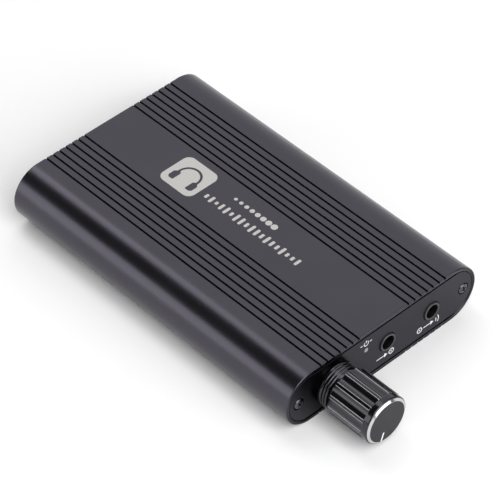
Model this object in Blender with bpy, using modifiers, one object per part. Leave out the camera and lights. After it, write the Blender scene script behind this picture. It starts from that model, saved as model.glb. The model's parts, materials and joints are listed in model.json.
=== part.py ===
"""Portable headphone amplifier: grooved aluminium case, end plates, volume control, jacks, board and cell.

Metres, +Z up. The origin is the centre of the case's flat underside. The front, with the knob and the
jacks, faces -Y, and +X is on the right when the front is seen from outside.
"""

import math

import bmesh
import bpy
from mathutils import Matrix, Vector

MM = 0.001

# ---------------------------------------------------------------- driving dimensions
CASE_LENGTH = 110.5 * MM
CASE_WIDTH = 71.7 * MM
CASE_HEIGHT = 18.5 * MM
WALL = 1.1 * MM
END_CHAMFER = 0.35 * MM
GAP = 0.3 * MM

GROOVE_PITCH = 2.35 * MM
GROOVES_A_SIDE = 7
INNER_GROOVE_X = 9.38 * MM
GROOVE_WIDTH = 0.6 * MM
GROOVE_DEPTH = 0.5 * MM
LEDGE_THICKNESS = 1.1 * MM
BOARD_CLAMP_THICKNESS = 0.9 * MM
BOARD_CLAMP_WIDTH = 1.0 * MM
PORT_WEB_THICKNESS = 2.0 * MM

PLATE_THICKNESS = 2.0 * MM
PLATE_RECESS = 0.1 * MM
PLATE_EDGE_BREAK = 0.1 * MM

SCREW_X = 31.2 * MM
SCREW_HEAD_RADIUS = 1.6 * MM
SCREW_SHANK_RADIUS = 1.0 * MM
SCREW_HEAD_HEIGHT = 0.7 * MM
SCREW_LENGTH = 8.0 * MM
SCREW_POINT_LENGTH = 1.0 * MM
CROSS_HALF_LENGTH = 0.85 * MM
CROSS_HALF_WIDTH = 0.2 * MM
CROSS_DEPTH = 0.5 * MM
COUNTERBORE_DEPTH = 0.35 * MM
PORT_RADIUS = 2.3 * MM
PORT_HOLE_RADIUS = 1.35 * MM

BOARD_THICKNESS = 1.6 * MM
BOARD_TOP = 6.5 * MM
BOARD_HALF_WIDTH = 32.3 * MM
BOARD_HALF_LENGTH = 52.4 * MM

JACK_XS = {"input": 1.8 * MM, "output": 18.75 * MM}
JACK_NOSE_RADIUS = 2.8 * MM
JACK_BORE_RADIUS = 1.85 * MM
JACK_MOUTH_RADIUS = 2.2 * MM
JACK_NOSE_PROUD = 0.3 * MM
JACK_BODY = Vector((7.6, 12.4, 5.0)) * MM
JACK_BACK_WALL = 1.2 * MM
JACK_LEAD_IN = 0.8 * MM
CONTACT_DISTANCES = {"tip": 10.0 * MM, "sleeve": 5.0 * MM}
CONTACT_POCKET_LENGTH = 1.8 * MM
CONTACT_POCKET_HEIGHT = 1.4 * MM
CONTACT_BELOW_AXIS = 0.5 * MM

KNOB_X = -18.8 * MM
KNOB_REACH = 20.2 * MM
KNOB_REAR_GAP = 0.9 * MM
KNOB_RADIUS = 7.5 * MM
KNOB_BAND_RADIUS = 7.4 * MM
KNOB_COLLAR_RADIUS = 6.9 * MM
KNOB_FACE_RADIUS = 6.4 * MM
KNOB_RIM_RADIUS = 7.05 * MM
KNOB_RIM_LENGTH = 0.45 * MM
KNOB_FACE_THICKNESS = 1.4 * MM
KNOB_BORE_RADIUS = 6.15 * MM
KNOB_EDGE_BREAK = 0.1 * MM
COLLAR_RING_REACHES = (4.15 * MM, 3.2 * MM, 2.2 * MM)
COLLAR_RING_DEPTH = 0.22 * MM
COLLAR_RING_HALF = 0.14 * MM
KNOB_CORE_RADIUS = 5.6 * MM
KNOB_CORE_FROM = 4.2 * MM
FLUTE_COUNT = 12
FLUTE_PHASE = math.radians(19.3)
FLUTE_FROM = 5.4 * MM
FLUTE_TO = 17.8 * MM
FLUTE_FLOOR_RADIUS = 6.98 * MM
FLUTE_CUTTER_RADIUS = 3.0 * MM

SHAFT_RADIUS = 2.97 * MM
BUSHING_BORE_RADIUS = 3.05 * MM
BUSHING_RADIUS = 3.45 * MM
BUSHING_LENGTH = 5.0 * MM
SHAFT_REACH = 15.0 * MM
SHAFT_EDGE_BREAK = 0.3 * MM
SHAFT_FIT = 0.15 * MM
CONTROL_HALF_WIDTH = 4.9 * MM
CONTROL_DEPTH = 9.2 * MM
ROTOR_WELL_DEPTH = 4.0 * MM
WASHER_RADIUS = 5.3 * MM
WASHER_THICKNESS = 0.4 * MM
NUT_ACROSS_FLATS = 10.0 * MM
NUT_THICKNESS = 1.6 * MM
TERMINAL_PITCH = 2.5 * MM
TERMINAL_SIZE = Vector((0.8, 2.4, 0.4)) * MM
TERMINAL_HEIGHT = 1.0 * MM

POWER_LIGHT_X = -6.3 * MM
POWER_LIGHT_Z = 11.8 * MM
LIGHT_PIN_RADIUS = 0.65 * MM
LIGHT_PIN_FIT = 0.2 * MM
LIGHT_PIN_RECESS = 0.05 * MM
LAMP_RADIUS = 0.95 * MM
LAMP_TIP_RADIUS = 0.75 * MM
LAMP_FLANGE_RADIUS = 1.25 * MM
LAMP_LENGTH = 3.1 * MM
LAMP_FLANGE = 0.6 * MM
LAMP_LEG_PITCH = 1.2 * MM
LAMP_LEG_RADIUS = 0.22 * MM
LAMP_LEG_RUN = 1.3 * MM

USB_X = -11.0 * MM
USB_HALF_WIDTH = 3.8 * MM
USB_HEIGHT = 2.8 * MM
USB_DEPTH = 6.0 * MM
USB_WALL = 0.3 * MM
USB_RECESS = 0.2 * MM
USB_WINDOW_MARGIN = 0.5 * MM
USB_TONGUE = Vector((4.6, 4.4, 0.6)) * MM
CHARGE_LIGHT_X = 1.5 * MM
GAIN_X = 13.0 * MM
GAIN_TRAVEL = 2.0 * MM
GAIN_FRAME = Vector((8.6, 3.8, 4.2)) * MM
GAIN_FRAME_WALL = 1.2 * MM
GAIN_FRAME_SETBACK = 0.4 * MM
GAIN_FRAME_SLOT = Vector((4.2, 0.0, 1.9)) * MM
GAIN_PLATE_SLOT = Vector((5.2, 0.0, 2.4)) * MM
GAIN_LEVER = Vector((1.5, 0.0, 1.3)) * MM
GAIN_LEVER_PROUD = 0.9 * MM

CAN_RADIUS = 3.15 * MM
CAN_HEIGHT = 5.4 * MM
CAN_BASE = 0.9 * MM
CELL_HALF_WIDTH = 20.0 * MM
CELL_FRONT = -18.0 * MM
CELL_BACK = 36.0 * MM
CELL_THICKNESS = 7.2 * MM
CELL_PAD_TOP = 8.0 * MM
CELL_PAD_MARGIN = 2.0 * MM
CELL_EDGE = 1.2 * MM
CONNECTOR_LOW = Vector((12.0, -29.5)) * MM
CONNECTOR_HIGH = Vector((19.0, -24.5)) * MM
CONNECTOR_HEIGHT = 5.0 * MM
LEAD_RADIUS = 0.55 * MM
LEAD_PITCH = 2.0 * MM
LEAD_INSET = 2.5 * MM

BODY_EDGE_BREAK = 0.3 * MM
FRAME_EDGE_BREAK = 0.2 * MM
LEVER_EDGE_BREAK = 0.12 * MM
CONNECTOR_EDGE_BREAK = 0.25 * MM
SHARP_ANGLE = math.radians(35)
CUTTER_MARGIN = 1.0 * MM

# ---------------------------------------------------------------- worked-out places
MID_Z = CASE_HEIGHT / 2
END_RADIUS = CASE_HEIGHT / 2
HALF_LENGTH = CASE_LENGTH / 2
FLAT_HALF_WIDTH = CASE_WIDTH / 2 - END_RADIUS
PLATE_OUTER = HALF_LENGTH - PLATE_RECESS
PLATE_INNER = PLATE_OUTER - PLATE_THICKNESS
PLATE_INSET = WALL + GAP
SEAT = PLATE_INNER - GAP
BOARD_SEAT = BOARD_TOP + GAP
BOARD_BOTTOM = BOARD_TOP - BOARD_THICKNESS
BEYOND_ENDS = HALF_LENGTH * 1.1
USB_LOW = BOARD_SEAT
USB_HIGH = BOARD_SEAT + USB_HEIGHT
GAIN_MID_Z = BOARD_SEAT + GAIN_FRAME.z / 2
FACING_FRONT = Matrix.Rotation(math.radians(90), 4, "X")
FACING_BACK = Matrix.Rotation(math.radians(-90), 4, "X")


# ---------------------------------------------------------------- scene, collections, materials
def clear_scene():
    for item in list(bpy.data.objects):
        bpy.data.objects.remove(item, do_unlink=True)


def new_collection(name):
    collection = bpy.data.collections.new(name)
    bpy.context.scene.collection.children.link(collection)
    return collection


clear_scene()
PARTS = new_collection("headphone_amplifier")
CUTTERS = new_collection("cutters")


def material(name, colour, roughness, metallic=0.0, alpha=1.0):
    surface = bpy.data.materials.new(name)
    surface.use_nodes = True
    shader = surface.node_tree.nodes["Principled BSDF"]
    shader.inputs["Base Color"].default_value = (*colour, 1.0)
    shader.inputs["Roughness"].default_value = roughness
    shader.inputs["Metallic"].default_value = metallic
    shader.inputs["Alpha"].default_value = alpha
    return surface


ANODISED = material("black_anodised_aluminium", (0.075, 0.073, 0.08), 0.45, 0.6)
ANODISED_PLATE = material("black_anodised_plate", (0.055, 0.053, 0.058), 0.42, 0.5)
ANODISED_KNOB = material("gloss_black_anodised_knob", (0.035, 0.035, 0.038), 0.25, 0.7)
BLACK_NICKEL = material("black_nickel_steel", (0.2, 0.2, 0.21), 0.3, 1.0)
BRIGHT_STEEL = material("stainless_steel", (0.6, 0.6, 0.6), 0.3, 1.0)
NICKEL_BRASS = material("nickel_plated_brass", (0.65, 0.63, 0.58), 0.3, 1.0)
BLACK_NYLON = material("black_nylon", (0.02, 0.02, 0.022), 0.5)
CLEAR_ACRYLIC = material("clear_acrylic", (0.8, 0.8, 0.85), 0.1, 0.0, 0.6)
GREEN_BOARD = material("green_solder_mask", (0.01, 0.12, 0.04), 0.4)
POUCH_FILM = material("aluminium_pouch_film", (0.6, 0.6, 0.62), 0.35, 0.8)
GREY_FOAM = material("grey_foam", (0.1, 0.1, 0.1), 0.95)
RED_WIRE = material("red_silicone_wire", (0.5, 0.02, 0.02), 0.5)
BLACK_WIRE = material("black_silicone_wire", (0.02, 0.02, 0.02), 0.5)
WHITE_NYLON = material("white_nylon", (0.8, 0.78, 0.7), 0.5)


# ---------------------------------------------------------------- modelling helpers
def add_part(name, mesh, surface, place=(0, 0, 0), parent=None):
    part = bpy.data.objects.new(name, mesh)
    part.location = place
    mesh.materials.clear()
    mesh.materials.append(surface)
    PARTS.objects.link(part)
    if parent is not None:
        part.parent = parent
    return part


def add_cutter(name, mesh, place=(0, 0, 0)):
    cutter = bpy.data.objects.new(name, mesh)
    cutter.location = place
    cutter.hide_render = True
    cutter.display_type = "WIRE"
    CUTTERS.objects.link(cutter)
    return cutter


def combine(part, other, operation="DIFFERENCE"):
    boolean = part.modifiers.new(operation.lower(), "BOOLEAN")
    boolean.operation = operation
    boolean.solver = "EXACT"
    boolean.object = other


def chamfer(part, width):
    bevel = part.modifiers.new("edge_break", "BEVEL")
    bevel.width = width
    bevel.segments = 1
    bevel.limit_method = "ANGLE"
    bevel.angle_limit = math.radians(60)


def mesh_from(name, build):
    """A new mesh filled by build(bm)."""
    bm = bmesh.new()
    build(bm)
    bmesh.ops.recalc_face_normals(bm, faces=bm.faces)
    mesh = bpy.data.meshes.new(name)
    bm.to_mesh(mesh)
    bm.free()
    return mesh


def box(name, low, high):
    """A box mesh between two corners."""
    low, high = Vector(low), Vector(high)
    size = high - low
    shape = Matrix.Translation((low + high) / 2) @ Matrix.Diagonal((*size, 1))
    return mesh_from(name, lambda bm: bmesh.ops.create_cube(bm, size=1.0, matrix=shape))


def rod(bm, radius, front, back, x=0.0, z=0.0, segments=32):
    """Adds a closed cylinder along Y to bm, from y = front to y = back."""
    place = Matrix.Translation((x, (front + back) / 2, z)) @ FACING_FRONT
    bmesh.ops.create_cone(bm, cap_ends=True, segments=segments, radius1=radius, radius2=radius,
                          depth=abs(back - front), matrix=place)


def rods(name, places, radius, front, back, segments=32):
    """Separate cylinders along Y at each (x, z) of places."""
    def build(bm):
        for x, z in places:
            rod(bm, radius, front, back, x, z, segments)
    return mesh_from(name, build)


def outline_prism(name, outline, front, back):
    """A flat outline of (x, z) points, filled and extruded along Y from front to back."""
    curve = bpy.data.curves.new(name, "CURVE")
    curve.dimensions = "2D"
    curve.fill_mode = "BOTH"
    curve.extrude = abs(back - front) / 2
    spline = curve.splines.new("POLY")
    spline.points.add(len(outline) - 1)
    for point, (x, z) in zip(spline.points, outline):
        point.co = (x, z, 0.0, 1.0)
    spline.use_cyclic_u = True
    sketch = bpy.data.objects.new(name, curve)
    CUTTERS.objects.link(sketch)
    evaluated = sketch.evaluated_get(bpy.context.evaluated_depsgraph_get())
    mesh = bpy.data.meshes.new_from_object(evaluated)
    bpy.data.objects.remove(sketch, do_unlink=True)
    bpy.data.curves.remove(curve)
    bm = bmesh.new()
    bm.from_mesh(mesh)
    bmesh.ops.remove_doubles(bm, verts=bm.verts, dist=0.000001)
    bmesh.ops.transform(bm, matrix=FACING_FRONT, verts=bm.verts)
    bmesh.ops.translate(bm, vec=(0, (front + back) / 2, 0), verts=bm.verts)
    bmesh.ops.recalc_face_normals(bm, faces=bm.faces)
    bm.to_mesh(mesh)
    bm.free()
    mesh.name = name
    return mesh


def stadium(half_flat, radius, mid_z, steps=20):
    """Outline points of a flat bar with round ends."""
    points = []
    for side in (1, -1):
        for step in range(steps + 1):
            angle = math.radians(-90 + 180 * step / steps)
            points.append((side * (half_flat + radius * math.cos(angle)),
                           mid_z + side * radius * math.sin(angle)))
    return points


def turned(name, profile, surface, place, facing, steps=48, parent=None):
    """A turned piece: (radius, reach) points, run down the outside from the far end, spun about its axis.

    Reach is measured from place, along the way that the piece faces.
    """
    closed = profile[0][0] > 0.0
    mesh = bpy.data.meshes.new(name)
    count = len(profile)
    edges = [(i, i + 1) for i in range(count - 1)]
    if closed:
        edges.append((count - 1, 0))
    mesh.from_pydata([(radius, 0.0, reach) for radius, reach in profile], edges, [])
    part = add_part(name, mesh, surface, place, parent)
    part.rotation_euler = facing.to_euler()
    screw = part.modifiers.new("turn", "SCREW")
    screw.axis = "Z"
    screw.steps = steps
    screw.render_steps = steps
    screw.use_merge_vertices = True
    screw.merge_threshold = 0.000001
    return part


def tube(name, points, radius, surface):
    """A wire of round section through the points, with closed ends."""
    curve = bpy.data.curves.new(name, "CURVE")
    curve.dimensions = "3D"
    curve.bevel_depth = radius
    curve.bevel_resolution = 2
    curve.use_fill_caps = True
    spline = curve.splines.new("POLY")
    spline.points.add(len(points) - 1)
    for point, place in zip(spline.points, points):
        point.co = (*place, 1.0)
    wire = bpy.data.objects.new(name, curve)
    curve.materials.append(surface)
    PARTS.objects.link(wire)
    return wire


def smooth_path(corners, steps=6):
    """Points of a smooth curve through the corners."""
    corners = [Vector(corner) for corner in corners]
    ends = [corners[0]] + corners + [corners[-1]]
    path = [corners[0]]
    for before, start, finish, after in zip(ends, ends[1:], ends[2:], ends[3:]):
        for step in range(1, steps + 1):
            t = step / steps
            path.append(0.5 * (2 * start + (finish - before) * t
                               + (2 * before - 5 * start + 4 * finish - after) * t ** 2
                               + (3 * start - before - 3 * finish + after) * t ** 3))
    return path


# ---------------------------------------------------------------- case
def make_case():
    outline = stadium(FLAT_HALF_WIDTH, END_RADIUS, MID_Z, 24)
    case = add_part("case_shell", outline_prism("case_shell", outline, -HALF_LENGTH, HALF_LENGTH), ANODISED)
    chamfer(case, END_CHAMFER)

    def groove_boxes(bm):
        for side in (-1, 1):
            for number in range(GROOVES_A_SIDE):
                x = side * (INNER_GROOVE_X + number * GROOVE_PITCH)
                for z in (0.0, CASE_HEIGHT):
                    size = (GROOVE_WIDTH, 2 * BEYOND_ENDS, 2 * GROOVE_DEPTH, 1)
                    bmesh.ops.create_cube(bm, size=1.0,
                                          matrix=Matrix.Translation((x, 0, z)) @ Matrix.Diagonal(size))

    combine(case, add_cutter("groove_cutter", mesh_from("groove_cutter", groove_boxes)))

    inner = stadium(FLAT_HALF_WIDTH, END_RADIUS - WALL, MID_Z, 20)
    cavity = add_cutter("cavity_cutter",
                        outline_prism("cavity_cutter", inner, -BEYOND_ENDS, BEYOND_ENDS))
    for side in (-1, 1):
        ports = add_cutter(f"screw_port_{side}", rods("screw_port", [(side * SCREW_X, MID_Z)], PORT_RADIUS,
                                                      -SEAT, SEAT, 24))
        webs = [(SCREW_X, MID_Z - PORT_WEB_THICKNESS / 2, MID_Z + PORT_WEB_THICKNESS / 2),
                (BOARD_HALF_WIDTH + GAP, BOARD_BOTTOM - GAP - LEDGE_THICKNESS, BOARD_BOTTOM - GAP),
                (BOARD_HALF_WIDTH - BOARD_CLAMP_WIDTH, BOARD_SEAT, BOARD_SEAT + BOARD_CLAMP_THICKNESS)]
        combine(cavity, ports)
        for number, (inside, low, high) in enumerate(webs):
            xs = sorted((side * inside, side * CASE_WIDTH / 2))
            web = box("web", (xs[0], -SEAT, low), (xs[1], SEAT, high))
            combine(cavity, add_cutter(f"web_{side}_{number}", web))
    combine(case, cavity)
    holes = rods("port_holes", [(-SCREW_X, MID_Z), (SCREW_X, MID_Z)], PORT_HOLE_RADIUS,
                 -BEYOND_ENDS, BEYOND_ENDS, 24)
    combine(case, add_cutter("port_hole_cutter", holes))


def make_plate(name, facing_sign, through_holes):
    """An end plate set into the case; through_holes are cutter meshes."""
    outer = facing_sign * PLATE_OUTER
    inner = facing_sign * PLATE_INNER
    outline = stadium(FLAT_HALF_WIDTH, END_RADIUS - PLATE_INSET, MID_Z, 20)
    plate = add_part(name, outline_prism(name, outline, outer, inner), ANODISED_PLATE)
    chamfer(plate, PLATE_EDGE_BREAK)
    screws = [(-SCREW_X, MID_Z), (SCREW_X, MID_Z)]
    beyond = facing_sign * BEYOND_ENDS
    inside = facing_sign * (PLATE_INNER - CUTTER_MARGIN)
    floor = facing_sign * (PLATE_OUTER - COUNTERBORE_DEPTH)
    clearance = rods("screw_clearance", screws, SCREW_SHANK_RADIUS + GAP, beyond, inside, 24)
    counterbore = rods("counterbore", screws, SCREW_HEAD_RADIUS + GAP, beyond, floor, 32)
    for number, cutter in enumerate([clearance, counterbore] + through_holes):
        combine(plate, add_cutter(f"{name}_cut_{number}", cutter))


def make_plates():
    inside = PLATE_INNER - CUTTER_MARGIN
    pin_hole_radius = LIGHT_PIN_RADIUS + LIGHT_PIN_FIT
    jack_holes = rods("jack_holes", [(x, MID_Z) for x in JACK_XS.values()], JACK_NOSE_RADIUS + GAP,
                      -BEYOND_ENDS, -inside, 40)
    control_hole = rods("control_hole", [(KNOB_X, MID_Z)], BUSHING_RADIUS + GAP, -BEYOND_ENDS, -inside, 32)
    power_hole = rods("power_hole", [(POWER_LIGHT_X, POWER_LIGHT_Z)], pin_hole_radius,
                      -BEYOND_ENDS, -inside, 16)
    make_plate("front_plate", -1, [jack_holes, control_hole, power_hole])

    window_half = USB_HALF_WIDTH + USB_WINDOW_MARGIN
    usb_window = box("usb_window", (USB_X - window_half, inside, USB_LOW - USB_WINDOW_MARGIN),
                     (USB_X + window_half, BEYOND_ENDS, USB_HIGH + USB_WINDOW_MARGIN))
    slot = GAIN_PLATE_SLOT / 2
    gain_slot = box("gain_slot", (GAIN_X - slot.x, inside, GAIN_MID_Z - slot.z),
                    (GAIN_X + slot.x, BEYOND_ENDS, GAIN_MID_Z + slot.z))
    charge_hole = rods("charge_hole", [(CHARGE_LIGHT_X, GAIN_MID_Z)], pin_hole_radius,
                       inside, BEYOND_ENDS, 16)
    make_plate("rear_plate", 1, [usb_window, gain_slot, charge_hole])


def make_screws():
    """Pan heads with a cross recess; the shank runs into the case's screw port."""
    seat = PLATE_OUTER - COUNTERBORE_DEPTH + GAP / 3
    head = [(share * SCREW_HEAD_RADIUS, height * SCREW_HEAD_HEIGHT)
            for share, height in ((0.0, 1.0), (0.5, 0.94), (0.78, 0.72), (0.95, 0.4), (1.0, 0.0))]
    shank = [(SCREW_SHANK_RADIUS, 0.0), (SCREW_SHANK_RADIUS, SCREW_POINT_LENGTH - SCREW_LENGTH),
             (SCREW_SHANK_RADIUS * 0.35, -SCREW_LENGTH), (0.0, -SCREW_LENGTH)]
    for end, sign, facing in (("front", -1, FACING_FRONT), ("rear", 1, FACING_BACK)):
        for side, x in (("left", -SCREW_X), ("right", SCREW_X)):
            name = f"{end}_screw_{side}"
            screw = turned(name, head + shank, BLACK_NICKEL, (x, sign * seat, MID_Z), facing, 24)
            top = seat + SCREW_HEAD_HEIGHT
            ys = sorted((sign * (top - CROSS_DEPTH), sign * (top + CROSS_DEPTH)))
            crosses = ((CROSS_HALF_LENGTH, CROSS_HALF_WIDTH), (CROSS_HALF_WIDTH, CROSS_HALF_LENGTH))
            for number, (half_x, half_z) in enumerate(crosses):
                bar = box("cross", (x - half_x, ys[0], MID_Z - half_z), (x + half_x, ys[1], MID_Z + half_z))
                combine(screw, add_cutter(f"{name}_cross_{number}", bar))


# ---------------------------------------------------------------- jacks
def make_jack(kind, x):
    """Board jack: a moulded body whose round nose passes through the front plate, and two springs."""
    front = -SEAT
    back = front + JACK_BODY.y
    tip = -(HALF_LENGTH + JACK_NOSE_PROUD)
    body = add_part(f"{kind}_jack_body",
                    box("jack_body", (x - JACK_BODY.x / 2, front, BOARD_SEAT),
                        (x + JACK_BODY.x / 2, back, BOARD_SEAT + JACK_BODY.z)), BLACK_NYLON)
    chamfer(body, BODY_EDGE_BREAK)
    nose = add_cutter(f"{kind}_nose", rods("nose", [(x, MID_Z)], JACK_NOSE_RADIUS, tip, front + GAP, 40))
    combine(body, nose, "UNION")
    bore = rods("bore", [(x, MID_Z)], JACK_BORE_RADIUS, tip - CUTTER_MARGIN, back - JACK_BACK_WALL, 32)
    combine(body, add_cutter(f"{kind}_bore", bore))

    def lead_in(bm):
        flare = JACK_MOUTH_RADIUS - JACK_BORE_RADIUS
        place = Matrix.Translation((x, tip, MID_Z)) @ FACING_FRONT
        bmesh.ops.create_cone(bm, cap_ends=True, segments=32, radius1=JACK_BORE_RADIUS - flare,
                              radius2=JACK_MOUTH_RADIUS + flare, depth=2 * JACK_LEAD_IN, matrix=place)

    combine(body, add_cutter(f"{kind}_lead_in", mesh_from("lead_in", lead_in)))
    pocket_low = MID_Z - CONTACT_BELOW_AXIS
    pocket_high = pocket_low + CONTACT_POCKET_HEIGHT
    half_length = CONTACT_POCKET_LENGTH / 2
    for contact, distance in CONTACT_DISTANCES.items():
        side = 1 if contact == "tip" else -1
        spring_x = x + side * (JACK_BORE_RADIUS + GAP / 3)
        spring_y = front + distance
        xs = sorted((spring_x - side * (GAP + 0.1 * MM), x + side * (JACK_BODY.x / 2 + CUTTER_MARGIN)))
        pocket = box("pocket", (xs[0], spring_y - half_length, pocket_low),
                     (xs[1], spring_y + half_length, pocket_high))
        combine(body, add_cutter(f"{kind}_{contact}_pocket", pocket))
        xs = sorted((spring_x, x + side * (JACK_BODY.x / 2 + GAP)))
        add_part(f"{kind}_jack_{contact}_contact",
                 box("contact", (xs[0], spring_y - half_length + GAP, pocket_low + GAP),
                     (xs[1], spring_y + half_length - GAP, pocket_high - GAP)), NICKEL_BRASS)


# ---------------------------------------------------------------- volume control
def make_control():
    front = -SEAT
    half = CONTROL_HALF_WIDTH
    body = add_part("volume_control_body",
                    box("control_body", (KNOB_X - half, front, MID_Z - half),
                        (KNOB_X + half, front + CONTROL_DEPTH, MID_Z + half)), BRIGHT_STEEL)
    chamfer(body, BODY_EDGE_BREAK)
    well = rods("rotor_well", [(KNOB_X, MID_Z)], BUSHING_BORE_RADIUS, front - CUTTER_MARGIN,
                front + ROTOR_WELL_DEPTH, 32)
    combine(body, add_cutter("rotor_well", well))

    turned("volume_control_bushing",
           [(BUSHING_RADIUS, BUSHING_LENGTH), (BUSHING_RADIUS, 0.0), (BUSHING_BORE_RADIUS, 0.0),
            (BUSHING_BORE_RADIUS, BUSHING_LENGTH)], NICKEL_BRASS, (KNOB_X, front - GAP, MID_Z), FACING_FRONT)

    washer_y = -(PLATE_OUTER + GAP)
    clear_radius = BUSHING_RADIUS + GAP
    turned("volume_control_washer",
           [(WASHER_RADIUS, WASHER_THICKNESS), (WASHER_RADIUS, 0.0), (clear_radius, 0.0),
            (clear_radius, WASHER_THICKNESS)], BRIGHT_STEEL, (KNOB_X, washer_y, MID_Z), FACING_FRONT)
    nut_back = washer_y - WASHER_THICKNESS - GAP
    nut_front = nut_back - NUT_THICKNESS
    nut = add_part("volume_control_nut",
                   rods("nut", [(KNOB_X, MID_Z)], NUT_ACROSS_FLATS / 2 / math.cos(math.radians(30)),
                        nut_front, nut_back, 6), BRIGHT_STEEL)
    bore = rods("nut_bore", [(KNOB_X, MID_Z)], clear_radius, nut_front - CUTTER_MARGIN,
                nut_back + CUTTER_MARGIN, 32)
    combine(nut, add_cutter("nut_bore", bore))
    low_y = front + CONTROL_DEPTH + GAP
    low_z = BOARD_SEAT + TERMINAL_HEIGHT
    for number in range(3):
        low_x = KNOB_X + (number - 1) * TERMINAL_PITCH - TERMINAL_SIZE.x / 2
        low = Vector((low_x, low_y, low_z))
        terminal = box("terminal", low, low + TERMINAL_SIZE)
        add_part(f"volume_control_terminal_{number + 1}", terminal, NICKEL_BRASS)


def make_knob():
    """The turning pieces, all parented to an empty on the control's axis at the case's front face."""
    pivot = bpy.data.objects.new("knob_axis", None)
    pivot.location = (KNOB_X, -HALF_LENGTH, MID_Z)
    PARTS.objects.link(pivot)

    shaft_inner = -(HALF_LENGTH - SEAT) - ROTOR_WELL_DEPTH + 2 * GAP
    turned("volume_control_shaft",
           [(0.0, SHAFT_REACH), (SHAFT_RADIUS - SHAFT_EDGE_BREAK, SHAFT_REACH),
            (SHAFT_RADIUS, SHAFT_REACH - SHAFT_EDGE_BREAK), (SHAFT_RADIUS, shaft_inner), (0.0, shaft_inner)],
           NICKEL_BRASS, (0, 0, 0), FACING_FRONT, 48, pivot)

    cup_end = KNOB_REACH - KNOB_FACE_THICKNESS
    core_bore = SHAFT_RADIUS + SHAFT_FIT
    turned("knob_core",
           [(KNOB_CORE_RADIUS, cup_end - GAP), (KNOB_CORE_RADIUS, KNOB_CORE_FROM),
            (core_bore, KNOB_CORE_FROM), (core_bore, SHAFT_REACH + GAP), (0.0, SHAFT_REACH + GAP),
            (0.0, cup_end - GAP)],
           BLACK_NYLON, (0, 0, 0), FACING_FRONT, 48, pivot)

    collar = []
    for reach in COLLAR_RING_REACHES:
        collar += [(KNOB_COLLAR_RADIUS, reach + COLLAR_RING_HALF),
                   (KNOB_COLLAR_RADIUS - COLLAR_RING_DEPTH, reach),
                   (KNOB_COLLAR_RADIUS, reach - COLLAR_RING_HALF)]
    edge = KNOB_EDGE_BREAK
    band_edge = KNOB_REACH - KNOB_RIM_LENGTH
    outside = [(0.0, KNOB_REACH), (KNOB_FACE_RADIUS, KNOB_REACH), (KNOB_RIM_RADIUS, band_edge),
               (KNOB_BAND_RADIUS - edge, band_edge - edge), (KNOB_BAND_RADIUS, band_edge - 3 * edge),
               (KNOB_BAND_RADIUS, FLUTE_TO), (KNOB_RADIUS, FLUTE_TO - edge),
               (KNOB_RADIUS, FLUTE_FROM + edge), (KNOB_RADIUS - edge, FLUTE_FROM),
               (KNOB_COLLAR_RADIUS, FLUTE_FROM)]
    inside = [(KNOB_COLLAR_RADIUS, KNOB_REAR_GAP), (KNOB_BORE_RADIUS, KNOB_REAR_GAP),
              (KNOB_BORE_RADIUS, cup_end), (0.0, cup_end)]
    profile = outside + collar + inside
    sleeve = turned("knob_sleeve", profile, ANODISED_KNOB, (0, 0, 0), FACING_FRONT, 72, pivot)

    def flutes(bm):
        centre = FLUTE_FLOOR_RADIUS + FLUTE_CUTTER_RADIUS
        for number in range(FLUTE_COUNT):
            angle = FLUTE_PHASE + number * math.tau / FLUTE_COUNT
            rod(bm, FLUTE_CUTTER_RADIUS, -(HALF_LENGTH + FLUTE_TO), -(HALF_LENGTH + KNOB_REAR_GAP),
                KNOB_X - centre * math.sin(angle), MID_Z + centre * math.cos(angle), 36)

    combine(sleeve, add_cutter("flute_cutter", mesh_from("flute_cutter", flutes)))


# ---------------------------------------------------------------- lights
def make_light(name, x, z, sign):
    """A small lamp on two legs behind an end plate, with a clear pin through the plate."""
    facing = FACING_FRONT if sign < 0 else FACING_BACK
    pin_end = PLATE_OUTER - LIGHT_PIN_RECESS
    pin_root = SEAT + GAP / 3
    turned(f"{name}_light_pin",
           [(0.0, pin_end), (LIGHT_PIN_RADIUS, pin_end), (LIGHT_PIN_RADIUS, pin_root), (0.0, pin_root)],
           CLEAR_ACRYLIC, (x, 0, z), facing, 16)
    tip = SEAT - GAP
    root = tip - LAMP_LENGTH
    turned(f"{name}_lamp",
           [(0.0, tip), (LAMP_TIP_RADIUS, tip - 0.15 * MM), (LAMP_RADIUS, tip - LAMP_TIP_RADIUS),
            (LAMP_RADIUS, root + LAMP_FLANGE), (LAMP_FLANGE_RADIUS, root + LAMP_FLANGE),
            (LAMP_FLANGE_RADIUS, root), (0.0, root)],
           CLEAR_ACRYLIC, (x, 0, z), facing, 20)
    leg_y = sign * (root - GAP)
    bend_y = sign * (root - GAP - LAMP_LEG_RUN)
    for side, shift in (("left", -LAMP_LEG_PITCH / 2), ("right", LAMP_LEG_PITCH / 2)):
        route = [(x + shift, leg_y, z), (x + shift, bend_y, z), (x + shift, bend_y, BOARD_SEAT)]
        tube(f"{name}_lamp_leg_{side}", route, LAMP_LEG_RADIUS, NICKEL_BRASS)


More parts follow.
